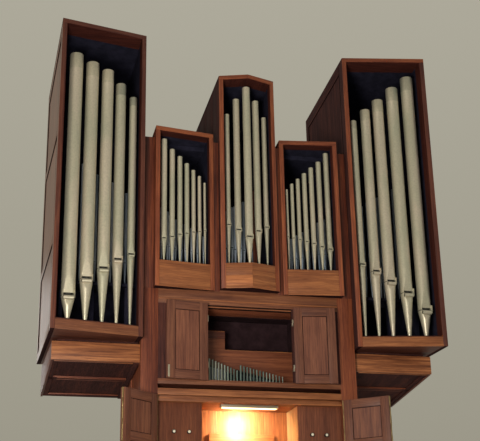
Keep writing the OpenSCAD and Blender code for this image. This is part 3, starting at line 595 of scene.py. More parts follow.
def bracket(side, label):
    """The box that carries a tower: a fascia, a frame on its sloping underside and plain sides."""
    low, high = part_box("bracket_right")
    x0, x1 = low.x, high.x
    points = local_points("bracket_right")
    y0, y1 = min(p.y for p in points), max(p.y for p in points)
    fronts = [p.z for p in points if p.y < y0 + 0.001]
    z0, top = min(fronts), max(fronts)
    fall = (z0 - low.z) / (y1 - y0)
    # Back of the fascia, and the inner faces of the side boards
    y_in, xa, xb, middle = y0 + 0.026, x0 + 0.045, x1 - 0.022, (y0 + y1) / 2

    def under(ya, yb, low_by=0.008, high_by=0.05):
        """An outline between two distances above the sloping underside."""
        za, zb = (z0 - fall * (y - y0) for y in (ya, yb))
        return [(ya, za + low_by), (yb, zb + low_by), (yb, zb + high_by), (ya, za + high_by)]

    j = Joinery(f"bracket_{label}_boards", side)
    j.box((x0, y0, z0), (x1, y_in, top), X, tone=0.02)
    # The side boards and the underside's frame are in the inner and dim woods, which paint shade on them
    for x, x_end, board_slot in ((x0, xa, 2), (xb, x1, 1)):
        j.bar(x, x_end, under(y_in, y1, 0)[:2] + [(y1, top), (y_in, top)], Y, slot=board_slot)
    for ya, yb in ((y_in, y0 + 0.075), (middle - 0.03, middle + 0.03), (y1 - 0.06, y1)):
        j.bar(xa, xb, under(ya, yb), X, slot=2)
    # A lit bead below the fascia's lower edge
    j.bar(x0 + 0.06, x1 - 0.03, under(y0 + 0.036, y0 + 0.042, -0.003, 0.012), X, edge=0.001)
    j.bar(x1 - 0.07, xb, under(y0 + 0.075, y1 - 0.06), Y, slot=2)
    j.bar(xa, x1 - 0.06, under(y0 + 0.07, y1 - 0.05, 0.022, 0.04), Y, slot=2, edge=0)
    j.box((x0 + 0.01, y0 + 0.06, top - 0.03), (x1 - 0.05, y1 - 0.01, high.z), Y, slot=2)
    # Lines of the lighter edge wood along the frame's rails, painted highlights on their lit edges
    lines = [(y, 0.002, 0.072, 0.010) for y in (y0 + 0.078, middle - 0.033, middle + 0.033, y1 - 0.063)]
    lines += [(y, 0.003, 0.11, 0.005) for y in (middle - 0.024, middle + 0.024)]
    for y, half, short, low_by in lines:
        j.bar(x0 + 0.05, x1 - short, under(y - half, y + half, low_by, 0.03), X, edge=0.0008, slot=3)
    j.finish("fascia dim inner edge", "front_wood", [f"bracket_{label}"])


def fields():
    """Both side fields: sides, roofs, aprons, and a dark lining that paints the shade inside them."""
    b = HungBox("field_sides", "field_roofs", "field_aprons")
    x0, x1, xa, xb, toe, back = b.x0, b.x1, b.xa, b.xb, b.toe, b.back
    roof_back = deepest("field_roofs")

    j = Joinery("field_sides_boards")
    for j.flip in (1, -1):
        for x in (x0, xb):
            b.cheek(j, x, back, slot=1)
    j.finish("edge stile", "case_wood", ["field_sides"])

    j = Joinery("field_roofs_boards")
    for j.flip in (1, -1):
        b.eaves(j, roof_back)
        b.upright(j, block(x0, x1, back, roof_back), CASE_TOP, X, slot=1)
    j.finish("edge stile", "case_wood", ["field_roofs"])

    j = Joinery("field_aprons_boards")
    for j.flip in (1, -1):
        j.prism(b.strip(xa, xb, 0.004, 0.03), b.z0 + 0.02, toe - 0.011, b.slant, tone=0.03)
        b.apron(j, x0 + 0.003, back, 0.018)
    j.finish("front stile dark", "front_wood", ["field_aprons"])

    # Dark sheets that paint the shade deep inside the fields
    j = Joinery("field_lining")
    thin, deep, case_back, ceiling = 0.005, 0.1, 1.1, CASE_TOP - 0.036
    for j.flip in (1, -1):
        for x in (xa, xb - thin):
            b.lined(j, x, thin, 0.07, case_back)
        b.slab(j, b.strip(xa, xb, LIP, deep), b.under, thin, X, edge=0, slot=1)
        j.box((xa, 0.95, toe), (xb, 0.955, ceiling + thin), Z, edge=0)
        b.slab(j, b.plan(xa, xb, deep, back - 0.001), b.under, thin, X, edge=0)
        b.upright(j, block(xa, xb, back - 0.003, back - 0.001), ceiling, X, edge=0)
        j.box((xa, 0.18, ceiling), (xb, case_back, ceiling + thin), X, edge=0)
    j.finish("lining_dark reveal", "dark_wood")
    for side, label in ((-1, "left"), (1, "right")):
        inner_pipes(f"field_{label}_inner_pipes", side, toe - 0.002, 16, (xa + 0.03, 0.031), (0.15, 0.05),
                    (0.019, 0.0008), (0.34, 0.02))


def centre():
    """The pointed centre tower: sides, roof, apron, and a dark lining that paints the shade inside it."""
    b = HungBox("centre_sides", "centre_roof", "centre_apron", pointed=True)
    x1, xb, z0, toe = b.x1, b.xb, b.z0, b.toe

    j = Joinery("centre_sides_boards")
    split = 0.21
    for j.flip in (1, -1):
        b.cheek(j, xb, split, slot=1)
        for ya, yb in parts(split, b.back, 3):
            b.upright(j, block(xb, x1, ya, yb), z0, slot=1, tone=0.12)
    j.finish("edge inner", "case_wood", ["centre_sides"])

    j = Joinery("centre_roof_boards")
    split = 0.25
    for j.flip in (1, -1):
        b.eaves(j, split)
        b.slab(j, block(0, x1, split, deepest("centre_roof")), b.roof, T, Y, slot=1)
    j.finish("edge inner", "case_wood", ["centre_roof"])

    j = Joinery("centre_apron_boards")
    split = z0 + 0.135
    for j.flip in (1, -1):
        # The left half catches the light, most of all low down
        upper, lower = ((0.0, 0.02), (0.42, 0.44)) if j.flip < 0 else ((-0.16, -0.14), (-0.14, -0.12))
        j.prism(b.strip(0, xb, 0.004, 0.03), split, toe - 0.009, b.slant, tone=upper)
        j.prism(b.strip(0, xb, 0.004, 0.03), z0 + 0.03, split, b.slant, tone=lower)
        b.apron(j, 0, 0.18, 0.028, tone=0.02)
    j.finish("front stile dark", "front_wood", ["centre_apron"])

    # Dark sheets that paint the shade deep inside the centre tower
    j = Joinery("centre_lining")
    thin, deep, case_back = 0.005, 0.15, 1.1
    for j.flip in (1, -1):
        b.lined(j, xb - thin, thin, 0.07, case_back)
        b.slab(j, b.strip(0, xb, LIP, deep), b.under, thin, Y, edge=0, slot=1)
        b.slab(j, b.plan(0, xb, deep, case_back), b.under, thin, Y, edge=0)
        b.upright(j, block(0, xb, case_back - thin, case_back), toe, edge=0)
    j.finish("lining_dark reveal", "dark_wood")
    chest = toe - 0.002
    inner_pipes("centre_inner_pipes", 1, chest, 8, (-0.22, 0.047), (0.17, 0.05), (0.040, -0.001),
                (0.62, 0.03))
    j = Joinery("centre_inner_post")
    j.box((0.105, 0.19, chest), (0.145, 0.23, toe + 0.9), Z)
    j.finish("stile", "case_wood")


def organ_pipe(j, at, d, foot, length, steps=40, beard=False, tone=0.05):
    """A metal pipe: a foot that narrows to its tip, a mouth between flattened lips, ears, and an open top."""
    r = d / 2
    bore = r - max(0.0012, d * 0.03)
    half = math.asin(LIP_SHARE)
    flat = math.cos(half)
    lip_up, lip_down, tip, languid, cut = d * 1.35, d * 0.7, d * 0.13, foot + d * 0.06, d * 0.14
    # The largest pipes carry a tuning sleeve, the others a narrow collar
    sleeve = d * (1.25 if beard else 0.10)
    # The lips take the first angles of a ring, from the left to the right
    front = max(6, steps // 4)
    angles = [half * (2 * i / front - 1) for i in range(front + 1)]
    angles += [half + (math.tau - 2 * half) * i / (steps - front) for i in range(1, steps - front)]
    count = len(angles)
    part = bmesh.new()

    def ring(z, radius, plane=-math.inf):
        """A ring of points, cut flat in front by a plane."""
        return [part.verts.new((radius * math.sin(a), max(-radius * math.cos(a), plane), z)) for a in angles]

    def band(low, high, slot=0, start=0, smooth=True):
        for i in range(start, count):
            f = part.faces.new((low[i], low[(i + 1) % count], high[(i + 1) % count], high[i]))
            f.smooth = smooth
            f.material_index = slot

    def cone(z):
        return tip + (r - tip) * z / foot

    rows = [(0.0, tip * 0.72), (0.002, tip * 0.96)]
    rows += [(z, cone(z)) for z in (0.006, foot * 0.3, foot * 0.55, foot - lip_down - 0.002) if z > 0]
    for share in (i / 6 for i in range(7)):
        z = foot - lip_down * (1 - share)
        rows.append((z, cone(z), -cone(z) + share * (r - r * flat)))
    rows.append((languid, r, -r * flat))
    mouth = len(rows) - 1
    rows += [(languid + cut + lip_up * share, r, -r * (flat + (1 - flat) * share))
             for share in (i / 8 for i in range(9))]
    rows += [(length * 0.75, r), (length - sleeve - 0.002, r), (length - sleeve, r * 1.015),
             (length - 0.002, r * 1.015), (length, r * 1.005), (length, bore)]
    rings = [ring(*row) for row in rows]
    for k, (low, high) in enumerate(zip(rings, rings[1:])):
        # A dark band where the foot is soldered on, which also paints the shade under the mouth, and the
        # sleeve in its own metal
        slot = 1 if k == mouth - 1 else 2 if beard and k >= len(rows) - 4 else 0
        band(low, high, slot, front if k == mouth else 0)
    part.faces.new(rings[0][::-1])
    # A dark plug behind the mouth, and a dark band inside the open top, both painted shade inside the pipe
    low, high, end = ring(foot - 0.001, r * 0.55), ring(languid + cut * 3, r * 0.55), ring(length - d, bore)
    band(low, high, 1)
    band(rings[-1], end, 1, smooth=False)
    for cap in (low[::-1], high, end):
        part.faces.new(cap).material_index = 1

    def plate(corners, thick):
        """A thin plate from its four corners, thickened along its own normal."""
        c = [Vector(p) for p in corners]
        push = (c[1] - c[0]).cross(c[3] - c[0]).normalized() * thick / 2
        near, far = ([part.verts.new(p + push * s) for p in c] for s in (-1, 1))
        faces = [near[::-1], far] + [(near[i - 1], near[i], far[i], far[i - 1]) for i in range(4)]
        bmesh.ops.recalc_face_normals(part, faces=[part.faces.new(f) for f in faces])

    z_low, z_high = foot - d * 0.25, foot + d * 0.42
    for s in (-1, 1):
        inner, outer = (Vector((x * s * d, y * d, 0)) for x, y in EAR_PLAN)
        plate([inner + Z * z_low, outer + Z * (z_low + d * 0.03), outer + Z * (z_high - d * 0.05),
               inner + Z * z_high], d * 0.024)
    if beard:
        # A round roller between the ears, its ends dark with the painted shadow of the ears
        radius, w, steps = d * 0.15, d * 0.37, 20
        profile = [(-w, radius * 0.86), (-w + d * 0.012, radius), (w - d * 0.012, radius), (w, radius * 0.86)]
        rings = [[part.verts.new((x, math.cos(t) * q - d * 0.43, math.sin(t) * q + foot - d * 0.17))
                  for t in circle(steps)] for x, q in profile]
        made = [part.faces.new((low[i - 1], low[i], high[i], high[i - 1]))
                for low, high in zip(rings, rings[1:]) for i in range(steps)]
        for f in made:
            f.smooth = True
        ends = [part.faces.new(rings[0][::-1]), part.faces.new(rings[-1])]
        for f in ends:
            f.material_index = 1
        bmesh.ops.recalc_face_normals(part, faces=made + ends)
    bmesh.ops.translate(part, vec=at, verts=part.verts)
    j.take(part, Z, tone=tone)


def bodies_of(node):
    """A CAD node's mesh with its case front at Y = 0 and its doubled points joined."""
    whole = bmesh.new()
    whole.from_mesh(NODES[node].data)
    bmesh.ops.remove_doubles(whole, verts=whole.verts, dist=1e-5)
    bmesh.ops.translate(whole, vec=(0, -FRONT, 0), verts=whole.verts)
    return whole


def islands(whole):
    """The separate bodies of a mesh, as lists of vertices, from the last vertex to the first."""
    seen, found = set(), []
    for first in reversed(whole.verts[:]):
        if first in seen:
            continue
        seen.add(first)
        island = [first]
        # The list grows while it is read, until every vertex joined to it is in
        for v in island:
            for e in v.link_edges:
                other = e.other_vert(v)
                if other not in seen:
                    seen.add(other)
                    island.append(other)
        found.append(island)
    return found


def stands(node):
    """Where each pipe of a CAD node stands: the place of its tip, length of foot, height and radius."""
    whole = bodies_of(node)
    found = []
    for island in islands(whole):
        points = [v.co.copy() for v in island]
        low, high = min(p.z for p in points), max(p.z for p in points)
        tip = [p for p in points if p.z < low + 1e-4]
        x, y = ((min(p[k] for p in tip) + max(p[k] for p in tip)) / 2 for k in (0, 1))
        radius = max(math.hypot(p.x - x, p.y - y) for p in points if p.z > high - 0.001)
        # Ears and beards stand out in front only, so the foot's end is looked for at the back
        behind = [p for p in points if p.y > y + 0.2 * radius]
        foot = min(p.z for p in behind if math.hypot(p.x - x, p.y - y) > 0.985 * radius)
        found.append((Vector((x, y, low)), foot - low, high - low, radius))
    whole.free()
    return sorted(found, key=lambda pipe: pipe[0].x)


def pipe_rank(node, material, slot, steps=40, beard=False, tone=0.05, lower=None):
    """A CAD node's pipes. Their mouths lie a little below the feet's upper ends, or lower by that much."""
    j = Joinery(node + "_turned")
    for at, foot, height, radius in stands(node):
        drop = lower or min(0.009, 0.45 * radius) + 0.28 * radius
        organ_pipe(j, at, radius * 2, foot - drop, height, steps, beard, tone)
    j.finish(material + " hollow_dark sleeve_tin", slot, [node])


def inner_pipes(name, side, z, count, across, depth, width, height):
    """Pipes behind the front ones. Each pair is the first pipe's value and the step to the next one.

    The depth only steps back and forth."""
    j = Joinery(name, side)
    for i in range(count):
        x, d, tall = (first + step * i for first, step in (across, width, height))
        y = depth[0] + depth[1] * (i % 2)
        organ_pipe(j, Vector((x, y, z)), d, min(0.20 + d, 0.4 * tall), tall, 16)
    j.finish("inner_blue_tin hollow_dark", "small_pipe_metal")


def dressed(node, along, materials, slot, edge=EDGE, choose=None, tone=0.06):
    """A CAD node's own shape with rounded edges, each of its solids with its own grain."""
    whole = bodies_of(node)
    bmesh.ops.dissolve_limit(whole, angle_limit=math.radians(1), verts=whole.verts, edges=whole.edges)
    sharp = [e for e in whole.edges if e.is_manifold and e.calc_face_angle(0) > math.radians(28)]
    rounded(whole, sharp, edge)
    j = Joinery(node + "_wood")
    for island in islands(whole):
        part = bmesh.new()
        made = {v: part.verts.new(v.co) for v in island}
        for f in dict.fromkeys(f for v in island for f in v.link_faces):
            part.faces.new([made[v] for v in f.verts])
        middle = sum((v.co for v in island), Vector()) / len(island)
        j.take(part, along, tone, None, choose(middle) if choose else 0)
    whole.free()
    j.finish(materials, slot, [node])


def main_case():
    hw, top = CASE_HW, CASE_TOP
    side_x, back = hw - BOARD, CASE_D - BOARD
    j = Joinery("case_sides_boards")
    for j.flip in (1, -1):
        framed(j, back, top - PLINTH_TOP, BOARD, place_at(hw, BOARD, PLINTH_TOP, Y), 2, 4)
    j.finish("edge", "case_wood", ["case_sides"])

    field_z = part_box("field_sides")[0].z
    right = [p.x for p in local_points("field_sides") if p.x > 0]
    centre_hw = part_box("centre_sides")[1].x
    j = Joinery("front_stiles_boards")
    for j.flip in (1, -1):
        # The two lower boards differ only by the light on them: the right one is painted lighter
        j.box((STILE_X, 0, PLINTH_TOP), (hw, BOARD, field_z), Z, slot=1 if j.flip > 0 else 0)
        j.box((max(right), 0, field_z), (hw, BOARD, top), Z)
        j.box((centre_hw, 0, field_z), (min(right), BOARD, top), Z)
    j.finish("stile edge", "case_wood", ["front_stiles"])

    levels = sorted({round(p.z, 4) for p in local_points("front_rails")})
    lintel = levels[2]
    j = Joinery("front_rails_boards")
    for x, low, high, tone in ((STILE_X, *levels[:2], 0.02), (STILE_X, *levels[2:4], 0.02),
                               (centre_hw, levels[3], levels[-1], 0.07)):
        j.box((-x, 0, low), (x, BOARD, high), X, tone=tone)
    # A bead over the doors, and the dark and light lines under the lintel
    j.box((-STILE_X, -0.004, lintel + 0.040), (STILE_X, 0.004, lintel + 0.050), X, edge=0.0015,
          tone=(0.2, 0.22), slot=1)
    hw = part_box("door_hinges")[1].x - 0.030
    for low, high, line_slot in ((-0.014, -0.0002, 2), (-0.026, -0.014, 1), (-0.034, -0.026, 2)):
        j.box((-hw, 0.004, lintel + low), (hw, 0.03, lintel + high), X, edge=0, tone=(0.0, 0.02),
              slot=line_slot)
    j.finish("lintel front shadow_gap", "front_wood", ["front_rails"])

    j = Joinery("back_panels_boards")
    framed(j, 2 * side_x, top - PLINTH_TOP, BOARD, place_at(-side_x, back, PLINTH_TOP), 3, 4)
    under = lowered(top_plane("centre_roof"), T)
    j.box((-centre_hw, back, top + 0.0003), (centre_hw, CASE_D, top + 2), Z, cuts=[under])
    low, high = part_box("tower_right_sides")
    for j.flip in (1, -1):
        framed(j, high.x - low.x - 2 * T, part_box("tower_right_roof")[1].z - low.z, BOARD,
               place_at(low.x + T, back, low.z), 1, 3, cuts=[lowered(top_plane("tower_right_roof"), T)])
    j.finish("brown", "dark_wood", ["back_panels"])
    dressed("plinth", X, "dark", "dark_wood", 0.004)
    dressed("case_top", Y, "brown", "dark_wood")
    dressed("shelf", X, "front", "front_wood", 0.003, tone=0.01)
    # The flank panels take the inner wood, which paints the shade of the recess beside the doors
    dressed("flank_panels", Z, "inner", "case_wood")
    dressed("console_panels", Z, "board", "case_wood")
    dressed("console_sides", Z, "pale", "front_wood")
    dressed("key_table", X, "edge", "case_wood")
    dressed("music_desk", X, "front", "front_wood")
    pipe_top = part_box("brustwerk_pipes")[1].z
    # The board above the pipes is in the lit wood, painted light on its underside, and the one below in the
    # dim wood, painted shade
    dressed("brustwerk_shelves", X, "dim lit", "case_wood", tone=0.02,
            choose=lambda at: 1 if at.z > pipe_top else 0)
    dressed("brustwerk_sides", Z, "stile", "case_wood")


def brustwerk():
    """Inside the small division: its stepped back board, dark sheets behind it that paint the shade there,
    and small pipes in the shade.
    """
    low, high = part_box("brustwerk_back")
    hw, front, back = high.x, low.y - FRONT, high.y - FRONT
    points = local_points("brustwerk_back")
    step = min(p.x for p in points if p.x > -hw + 0.01)
    shelf = max(p.z for p in points if p.x > 0)
    ceiling = max(p.z for p in local_points("brustwerk_sides"))
    j = Joinery("brustwerk_back_boards")
    j.box((-hw, front, low.z), (hw, back, shelf), X, tone=(0.22, 0.24))
    j.box((-hw, front, shelf), (step, back, high.z), X, tone=(0.14, 0.16))
    # Lit upper edges, and the darker block on the higher end
    for xa, xb, z in ((step, hw, shelf), (-hw, step, high.z)):
        j.box((xa, front - 0.0015, z - 0.006), (xb, front + 0.001, z + 0.0005), X, edge=0.0005,
              tone=(0.0, 0.02), slot=1)
    j.box((-hw, front - 0.010, high.z - 0.078), (step, front, high.z - 0.006), X, tone=(-0.12, -0.1), slot=2)
    j.finish("board front dim", "front_wood", ["brustwerk_back"])
    # Dark sheets that paint the shade behind the back board
    j = Joinery("brustwerk_lining")
    near, far, thin = back + 0.015, back + 0.20, 0.005
    j.box((-hw, far, low.z), (hw, far + thin, ceiling), X, edge=0)
    j.box((-hw, near, ceiling - thin), (hw, far + thin, ceiling), X, edge=0)
    for j.flip in (1, -1):
        j.box((hw - thin, near, low.z), (hw, far, ceiling), Z, edge=0)
    j.finish("box_lining", "dark_wood")
    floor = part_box("brustwerk_pipes")[0].z
    row = stands("brustwerk_pipes")
    depth, half = row[0][0].y, (row[-1][0].x - row[0][0].x) / (len(row) - 1) / 2
    # Shade on the board between and behind the pipes
    j = Joinery("brustwerk_pipe_shade")
    for at, _, height, _ in row:
        plan = block(max(at.x - half, -hw), at.x + half, front - 0.003, front - 0.0016)
        j.prism(plan, floor, floor + height - 0.012, Z, edge=0)
    j.finish("pipe_shade", "dark_wood")
    inner_pipes("brustwerk_inner_pipes", 1, floor, 25, (-0.405, 0.033), (depth + 0.035, 0), (0.015, 0),
                (0.215, -0.0062))


def doors():
    """The two doors of the small front division, framed, with the moving halves of their hinges."""
    for joint in frame["record"]["behaviour"]["joints"]:
        label = "left" if "left" in joint["name"] else "right"
        side = -1 if label == "left" else 1
        node = f"brustwerk_door_{label}"
        # The hinge's axis on the right-hand side, with the case front at Y = 0
        hinge = Vector((abs(joint["pos_m"][0]), joint["pos_m"][1] - FRONT, 0))
        z0, z1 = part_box(node)[0].z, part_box(node)[1].z
        opened = Matrix.Translation(hinge) @ Matrix.Rotation(math.radians(joint["range_deg"][1]), 4, "Z")
        board = opened @ Matrix.Translation((DOOR_GAP / 2 - hinge.x, 0, z0))
        j = Joinery(node + "_boards", side)
        framed(j, hinge.x - 0.011, z1 - z0, DOOR_T, board, tones=0.04, sink=0.007, gap=GAP,
               shades=(-0.13, 0.16))
        j.finish("brown shadow_gap", "case_wood", [node], joint["child"])
        j = Joinery(f"door_{label}_metal", side)
        for z in HINGE_ZS:
            low = z + HINGE_LEN + 0.0003
            j.turned([(0.0033, 0), (0.0055, 0), (0.006, 0.0006), (0.006, 0.029), (0.0054, 0.0297),
                      (0.0033, 0.0297), (0.0033, 0)], opened @ Vector((0, 0, low)))
            j.box((-0.042, -0.002, low), (-0.003, 0, z + 2 * HINGE_LEN), Z, move=opened, edge=0.0006)
        if side < 0:
            # A flush bolt on the free stile of the left door: plate, rod and knob
            for x0, x1, sunk, proud, low, high, edge in ((0.012, 0.030, -0.001, 0.0025, 0.012, 0.125, 0.0008),
                                                         (0.018, 0.024, 0.002, 0.0045, 0.004, 0.100, 0.001),
                                                         (0.0165, 0.0255, 0.002, 0.005, 0.096, 0.106, 0.001)):
                j.box((x0, DOOR_T + sunk, low), (x1, DOOR_T + proud, high), Z, move=board, edge=edge)
        j.finish("bolt_steel", "brass", [], joint["child"])

    j = Joinery("door_hinges_metal")
    for j.flip in (1, -1):
        for z in HINGE_ZS:
            at, face = hinge + Z * z, -hinge.y
            j.turned([(0, 0), (0.0054, 0), (0.006, 0.0006), (0.006, 0.0294), (0.0054, 0.03), (0.0028, 0.03),
                      (0.0028, 0.0585), (0.002, 0.0598), (0, 0.06)], at)
            for x1, y0, y1 in ((0.003, 0, face - 0.003), (0.028, face - 0.003, face)):
                j.box(at + Vector((-0.003, y0, 0)), at + Vector((x1, y1, HINGE_LEN)), Z, edge=0.0006)
    j.finish("bolt_steel", "brass", ["door_hinges"])


def console_doors():
    """Two folding leaves on each side of the console, opened outwards."""
    for side, label in ((-1, "left"), (1, "right")):
        node = f"console_doors_{label}"
        z0, z1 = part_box(node)[0].z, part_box(node)[1].z
        base = Matrix.Translation((STILE_X + 0.006, -LEAF_BARREL - 0.005, z0))
        turned = base @ Matrix.Rotation(math.radians(LEAF_OPEN + 180), 4, "Z")
        lay, second_y = LEAF_BARREL - 0.003, LEAF_T / 2 + LEAF_GAP
        j = Joinery(node + "_boards", side)
        for width, x, y in ((LEAF_A, lay, -LEAF_T / 2), (LEAF_B, lay + LEAF_A - LEAF_B, second_y)):
            leaf = turned @ Matrix.Translation((x, y, 0))
            framed(j, width, z1 - z0, LEAF_T, leaf, 1, 2, sink=0.007, gap=GAP, shades=(-0.1, 0.08))
        j.box((STILE_X + 0.002, -0.005 - LEAF_BARREL, z0), (STILE_X + 0.010, 0, z1), Z, edge=0.001)
        j.finish("brown shadow_gap", "case_wood", [node])
        j = Joinery(node + "_barrels", side)
        joined = turned @ Vector((LEAF_A + lay, (LEAF_T + LEAF_GAP) / 2, 0))
        knuckles = 9
        length = (z1 - z0) / knuckles
        for at in (base.translation, joined):
            for k in range(knuckles):
                r = LEAF_BARREL * (0.78 if k % 2 else 1.0)
                profile = [(0, 0), (r * 0.9, 0), (r, 0.001), (r, length - 0.002), (r * 0.9, length - 0.001),
                           (0, length - 0.001)]
                j.turned(profile, Vector((at.x, at.y, z0 + k * length)))
        j.finish("brass", "brass")


def console():
    """The niche with its board behind the keys, the knee board and a slim lamp under the niche's ceiling."""
    knee_hw, back, niche_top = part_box("console_backs")[1]
    back -= FRONT
    niche_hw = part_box("key_table")[1].x - 0.143
    table_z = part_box("manuals")[0].z
    knee_top, thick = table_z - 0.040, 0.020
    j = Joinery("console_backs_boards")
    for x0, x1 in parts(-niche_hw, niche_hw, 4):
        j.box((x0, back - thick, table_z), (x1, back, niche_top), Z, edge=0.001)
    framed(j, 2 * knee_hw, knee_top, thick, place_at(-knee_hw, back - thick, 0), 3, 1, sink=0.006)
    j.finish("front", "front_wood", ["console_backs"])
    # A slim lamp under the niche's ceiling
    j = Joinery("niche_lamp")
    j.box((-0.28, 0.075, niche_top - 0.030), (0.28, 0.135, niche_top - 0.001), X, edge=0.003)
    j.box((-0.27, 0.083, niche_top - 0.0335), (0.27, 0.127, niche_top - 0.0295), X, edge=0.001, slot=1)
    for x in (-0.285, 0.279):
        j.box((x, 0.073, niche_top - 0.033), (x + 0.006, 0.137, niche_top), Z, edge=0.001)
    j.finish("bolt_steel lamp_glow", "brass")


def manuals():
    """Two manuals of 56 keys: beds, naturals with bone covers and dark sharps."""
    low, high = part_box("manuals")
    cheek, front, back = high.x, low.y - FRONT, high.y - FRONT
    half = cheek - 0.012
    pitch = 2 * half / NATURALS
    top = high.z - SHARP_H
    j = Joinery("manuals_keys")
    for y0, bed, level in ((front, low.z, top - MANUAL_RISE), (front + MANUAL_STEP, top - 0.062, top)):
        y1 = y0 + KEY_REACH
        j.box((-cheek, y0 + 0.010, bed), (cheek, back, level - 0.023), X, slot=2)
        j.box((-cheek, y1 + 0.001, level - 0.023), (cheek, back, level), X, slot=2)
        for s in (-1, 1):
            ends = sorted((s * half, s * cheek))
            j.box((ends[0] + 0.0005, y0, bed if y0 == front else level - 0.05),
                  (ends[1] - 0.0005, y1, level - 0.001), Y, slot=2)
        for i in range(NATURALS):
            x0, x1 = -half + i * pitch + 0.0006, -half + (i + 1) * pitch - 0.0006
            j.box((x0 + 0.0004, y0 + 0.003, level - 0.022), (x1 - 0.0004, y1, level - 0.003), Y,
                  slot=1, edge=0.0006)
            j.box((x0, y0, level - 0.0032), (x1, y1, level), Y, edge=0.0009, tone=0.02)
        for i in with_sharp(NATURALS):
            x, ya = -half + (i + 1) * pitch, y0 + 0.048
            rings = [[(a, b, z) for a, b in block(x - w, x + w, y, y1)]
                     for z, w, y in ((level - 0.001, 0.0055, ya), (level + SHARP_H, 0.0044, ya + 0.006))]
            j.solid(rings, Y, slot=3, edge=0.0012, tone=0.02)
    j.finish("key_bone pale dark ebony", "key_covering", ["manuals"])


def with_sharp(naturals):
    """The naturals, counted from a C, that have a sharp at their right: all but E and B."""
    return [i for i in range(naturals - 1) if i % 7 not in (2, 6)]


def stop_knobs():
    """Draw knobs beside the niche: rosettes, stems and turned heads with bone faces."""
    low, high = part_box("stop_knobs")
    panel, outer, rosette = high.y - FRONT, high.x - 0.019, 0.019
    z_low, z_high = low.z + rosette, high.z - rosette
    heads, faces = Joinery("stop_knob_heads"), Joinery("stop_knob_faces")
    head = [(0, 0), (0.015, 0), (0.015, 0.0015), (0.0135, 0.003), (0.010, 0.0032), (0.009, 0.005),
            (0.0075, 0.006), (0.0075, 0.023), (0.0095, 0.0245), (0.016, 0.027), (0.0185, 0.030),
            (0.019, 0.033), (0.0178, 0.0365), (0.0150, 0.0385), (0.0135, 0.0385), (0.0130, 0.0375),
            (0, 0.0375)]
    face = [(0, 0.0376), (0.0127, 0.0376), (0.0127, 0.0386), (0.0118, 0.0396), (0.006, 0.0405), (0, 0.0407)]
    for heads.flip in (1, -1):
        faces.flip = heads.flip
        for x in (outer - KNOB_STEP, outer):
            for k in range(4):
                at = Vector((x, panel, z_low + (z_high - z_low) * k / 3))
                heads.turned(head, at, -Y, 32)
                faces.turned(face, at, -Y, 32, 0.02)
    heads.finish("ebony", "key_covering", ["stop_knobs"])
    faces.finish("key_bone", "key_covering")


def pedalboard():
    """Thirty pedals in their frame, the sharps raised and dark."""
    low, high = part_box("pedalboard")
    pedals = 18
    hw = pedals / 2 * PEDAL_PITCH
    front, y1 = low.y - FRONT, high.y - FRONT
    y0, behind, rim, bed = front + 0.025, y1 - 0.041, 0.105, 0.045
    j = Joinery("pedalboard_frame")
    outline = [(front, 0), (y1, 0), (y1, rim), (y0 + 0.06, rim), (y0 - 0.005, 0.085), (front, 0.055)]
    for j.flip in (1, -1):
        j.bar(hw, high.x, outline, Y, edge=0.004)
    j.flip = 1
    j.box((-hw, y1 - 0.040, 0.012), (hw, y1, rim), X)
    j.box((-hw, front, 0), (hw, y0 - 0.001, 0.070), X, edge=0.004)
    j.box((-hw, y0 - 0.001, 0), (hw, y1, 0.012), X)
    for share in (0.30, 0.72):
        y = y0 + (y1 - y0) * share
        j.box((-hw, y, 0.012), (hw, y + 0.03, 0.035), X)
    j.finish("front", "pedal_wood", ["pedalboard"])
    nose = 0.0165
    outline = [(y0 + nose * (1 - math.cos(a)), bed + nose * (1 + math.sin(a)))
               for a in (math.radians(t) for t in range(-90, 91, 30))] + [(behind, 0.078), (behind, bed)]
    j = Joinery("pedal_naturals")
    for i in range(pedals):
        x = -hw + (i + 0.5) * PEDAL_PITCH
        j.bar(x - 0.012, x + 0.012, outline, Y, edge=0.0025)
    j.finish("pale", "pedal_wood")
    ya = y1 - 0.200
    outline = [(ya, bed), (behind, bed), (behind, 0.120), (ya + 0.10, 0.122), (ya + 0.030, 0.121),
               (ya + 0.012, 0.114), (ya + 0.002, 0.100), (ya, 0.085)]
    j = Joinery("pedal_sharps")
    for i in with_sharp(pedals):
        x = -hw + (i + 1) * PEDAL_PITCH
        j.bar(x - 0.011, x + 0.011, outline, Y, edge=0.0025)
    j.finish("dark", "pedal_wood")


def bench():
    """The bench: a seat board on two end boards with a stretcher."""
    low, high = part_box("bench")
    y0, y1, hw = low.y - FRONT, high.y - FRONT, high.x
    seat, inner = high.z - 0.038, hw - 0.045
    j = Joinery("bench_boards")
    j.box((-hw, y0, seat), (hw, y1, high.z), X, edge=0.006)
    for j.flip in (1, -1):
        j.box((inner, y0 + 0.030, 0), (hw - 0.010, y1 - 0.030, seat), Z, edge=0.003)
        j.box((inner - 0.018, y0 + 0.045, seat - 0.05), (inner, y1 - 0.045, seat), Y, edge=0.003)
    j.flip = 1
    j.box((-inner - 0.001, y0 + 0.060, 0.190), (inner + 0.001, y0 + 0.085, 0.270), X, edge=0.003)
    j.finish("front", "front_wood", ["bench"])


def add_floor():
    j = Joinery("floor_slab")
    j.box((-6, -5, -0.3), (6, 3.4, 0), X, edge=0.01)
    j.finish("floor_pale", "case_wood")


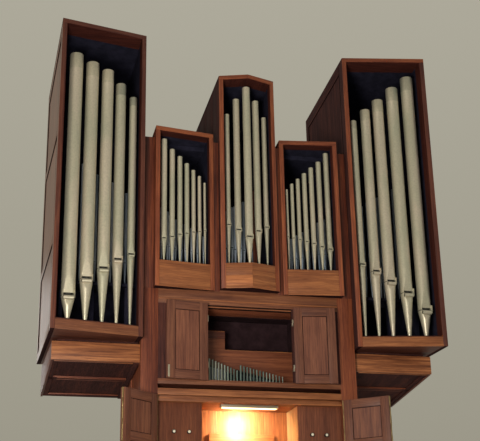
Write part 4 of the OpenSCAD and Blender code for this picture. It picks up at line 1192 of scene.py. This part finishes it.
def add_world():
    world = bpy.data.worlds.new("world")
    world.use_nodes = True
    n = Nodes(world.node_tree)
    rays = n.add("LightPath").outputs
    seen = n.math("MAXIMUM", rays["Is Camera Ray"], rays["Is Glossy Ray"])
    seen = n.math("MAXIMUM", seen, rays["Is Transmission Ray"])
    light = n.add("Background", (0.95, 0.97, 1.0, 1), 0.34)
    # The backdrop is a little lighter towards the top
    height = n.add("SeparateXYZ", n.add("TexCoord").outputs["Generated"]).outputs["Z"]
    fade = n.ramp(height, (0.08, rgb(152, 148, 133)), (0.6, rgb(176, 172, 157)))
    n.add("OutputWorld", n.add("MixShader", seen, light, n.add("Background", fade)))
    bpy.context.scene.world = world
    bpy.context.scene.view_settings.view_transform = "Standard"


def area_light(name, at, aim, size, power, colour=(1, 1, 1), glossy=False, spread=180):
    data = bpy.data.lights.new(name, "AREA")
    data.shape = "SQUARE"
    data.size = size
    data.energy = power
    data.color = colour
    data.spread = math.radians(spread)
    light = bpy.data.objects.new(name, data)
    turn = (Vector(aim) - Vector(at)).to_track_quat("-Z", "Y").to_matrix().to_4x4()
    light.matrix_world = Matrix.Translation(at) @ turn
    light.visible_camera = False
    light.visible_glossy = glossy
    bpy.context.collection.objects.link(light)


def add_lights():
    warm, day = (1, 0.965, 0.9), (1, 0.98, 0.96)
    area_light("key_light", (-3.4, -6.6, 0.5), (0, -0.6, 2.9), 2.0, 196, warm, True, 125)
    area_light("window_light", (-3.0, 8.0, 3.6), (-2.0, 0, 2.6), 3.2, 60, day, True)
    area_light("niche_light", (0, FRONT + 0.15, 1.455), (0, FRONT + 0.42, 1.12), 0.16, 10, (1, 0.74, 0.38))
    area_light("niche_glow", (-0.04, FRONT + 0.22, 1.42), (-0.04, FRONT + 0.44, 1.33), 0.1, 14,
               (1, 0.92, 0.86))
    area_light("left_light", (-6.5, 1.5, 4.5), (-1, 0, 3.2), 3.0, 90, day)
    area_light("right_light", (6.5, -2.5, 4.5), (1, 0, 3), 3.0, 80)
    area_light("back_light", (1.5, 7.5, 5.0), (0, 0.5, 2.6), 3.5, 160)


add_camera()
add_world()
add_lights()
add_floor()
main_case()
for side, label in ((-1, "left"), (1, "right")):
    tower(side, label)
    bracket(side, label)
    pipe_rank(f"tower_{label}_pipes", "pipe_tin", "pipe_metal", 44, True, lower=0.070 if side < 0 else None)
    pipe_rank(f"field_{label}_pipes", "pipe_tin", "pipe_metal", 36)
pipe_rank("centre_pipes", "pipe_tin", "pipe_metal", 40)
pipe_rank("brustwerk_pipes", "small_pipe_tin", "small_pipe_metal", 20, tone=0.3)
fields()
centre()
brustwerk()
doors()
console_doors()
console()
manuals()
stop_knobs()
pedalboard()
bench()
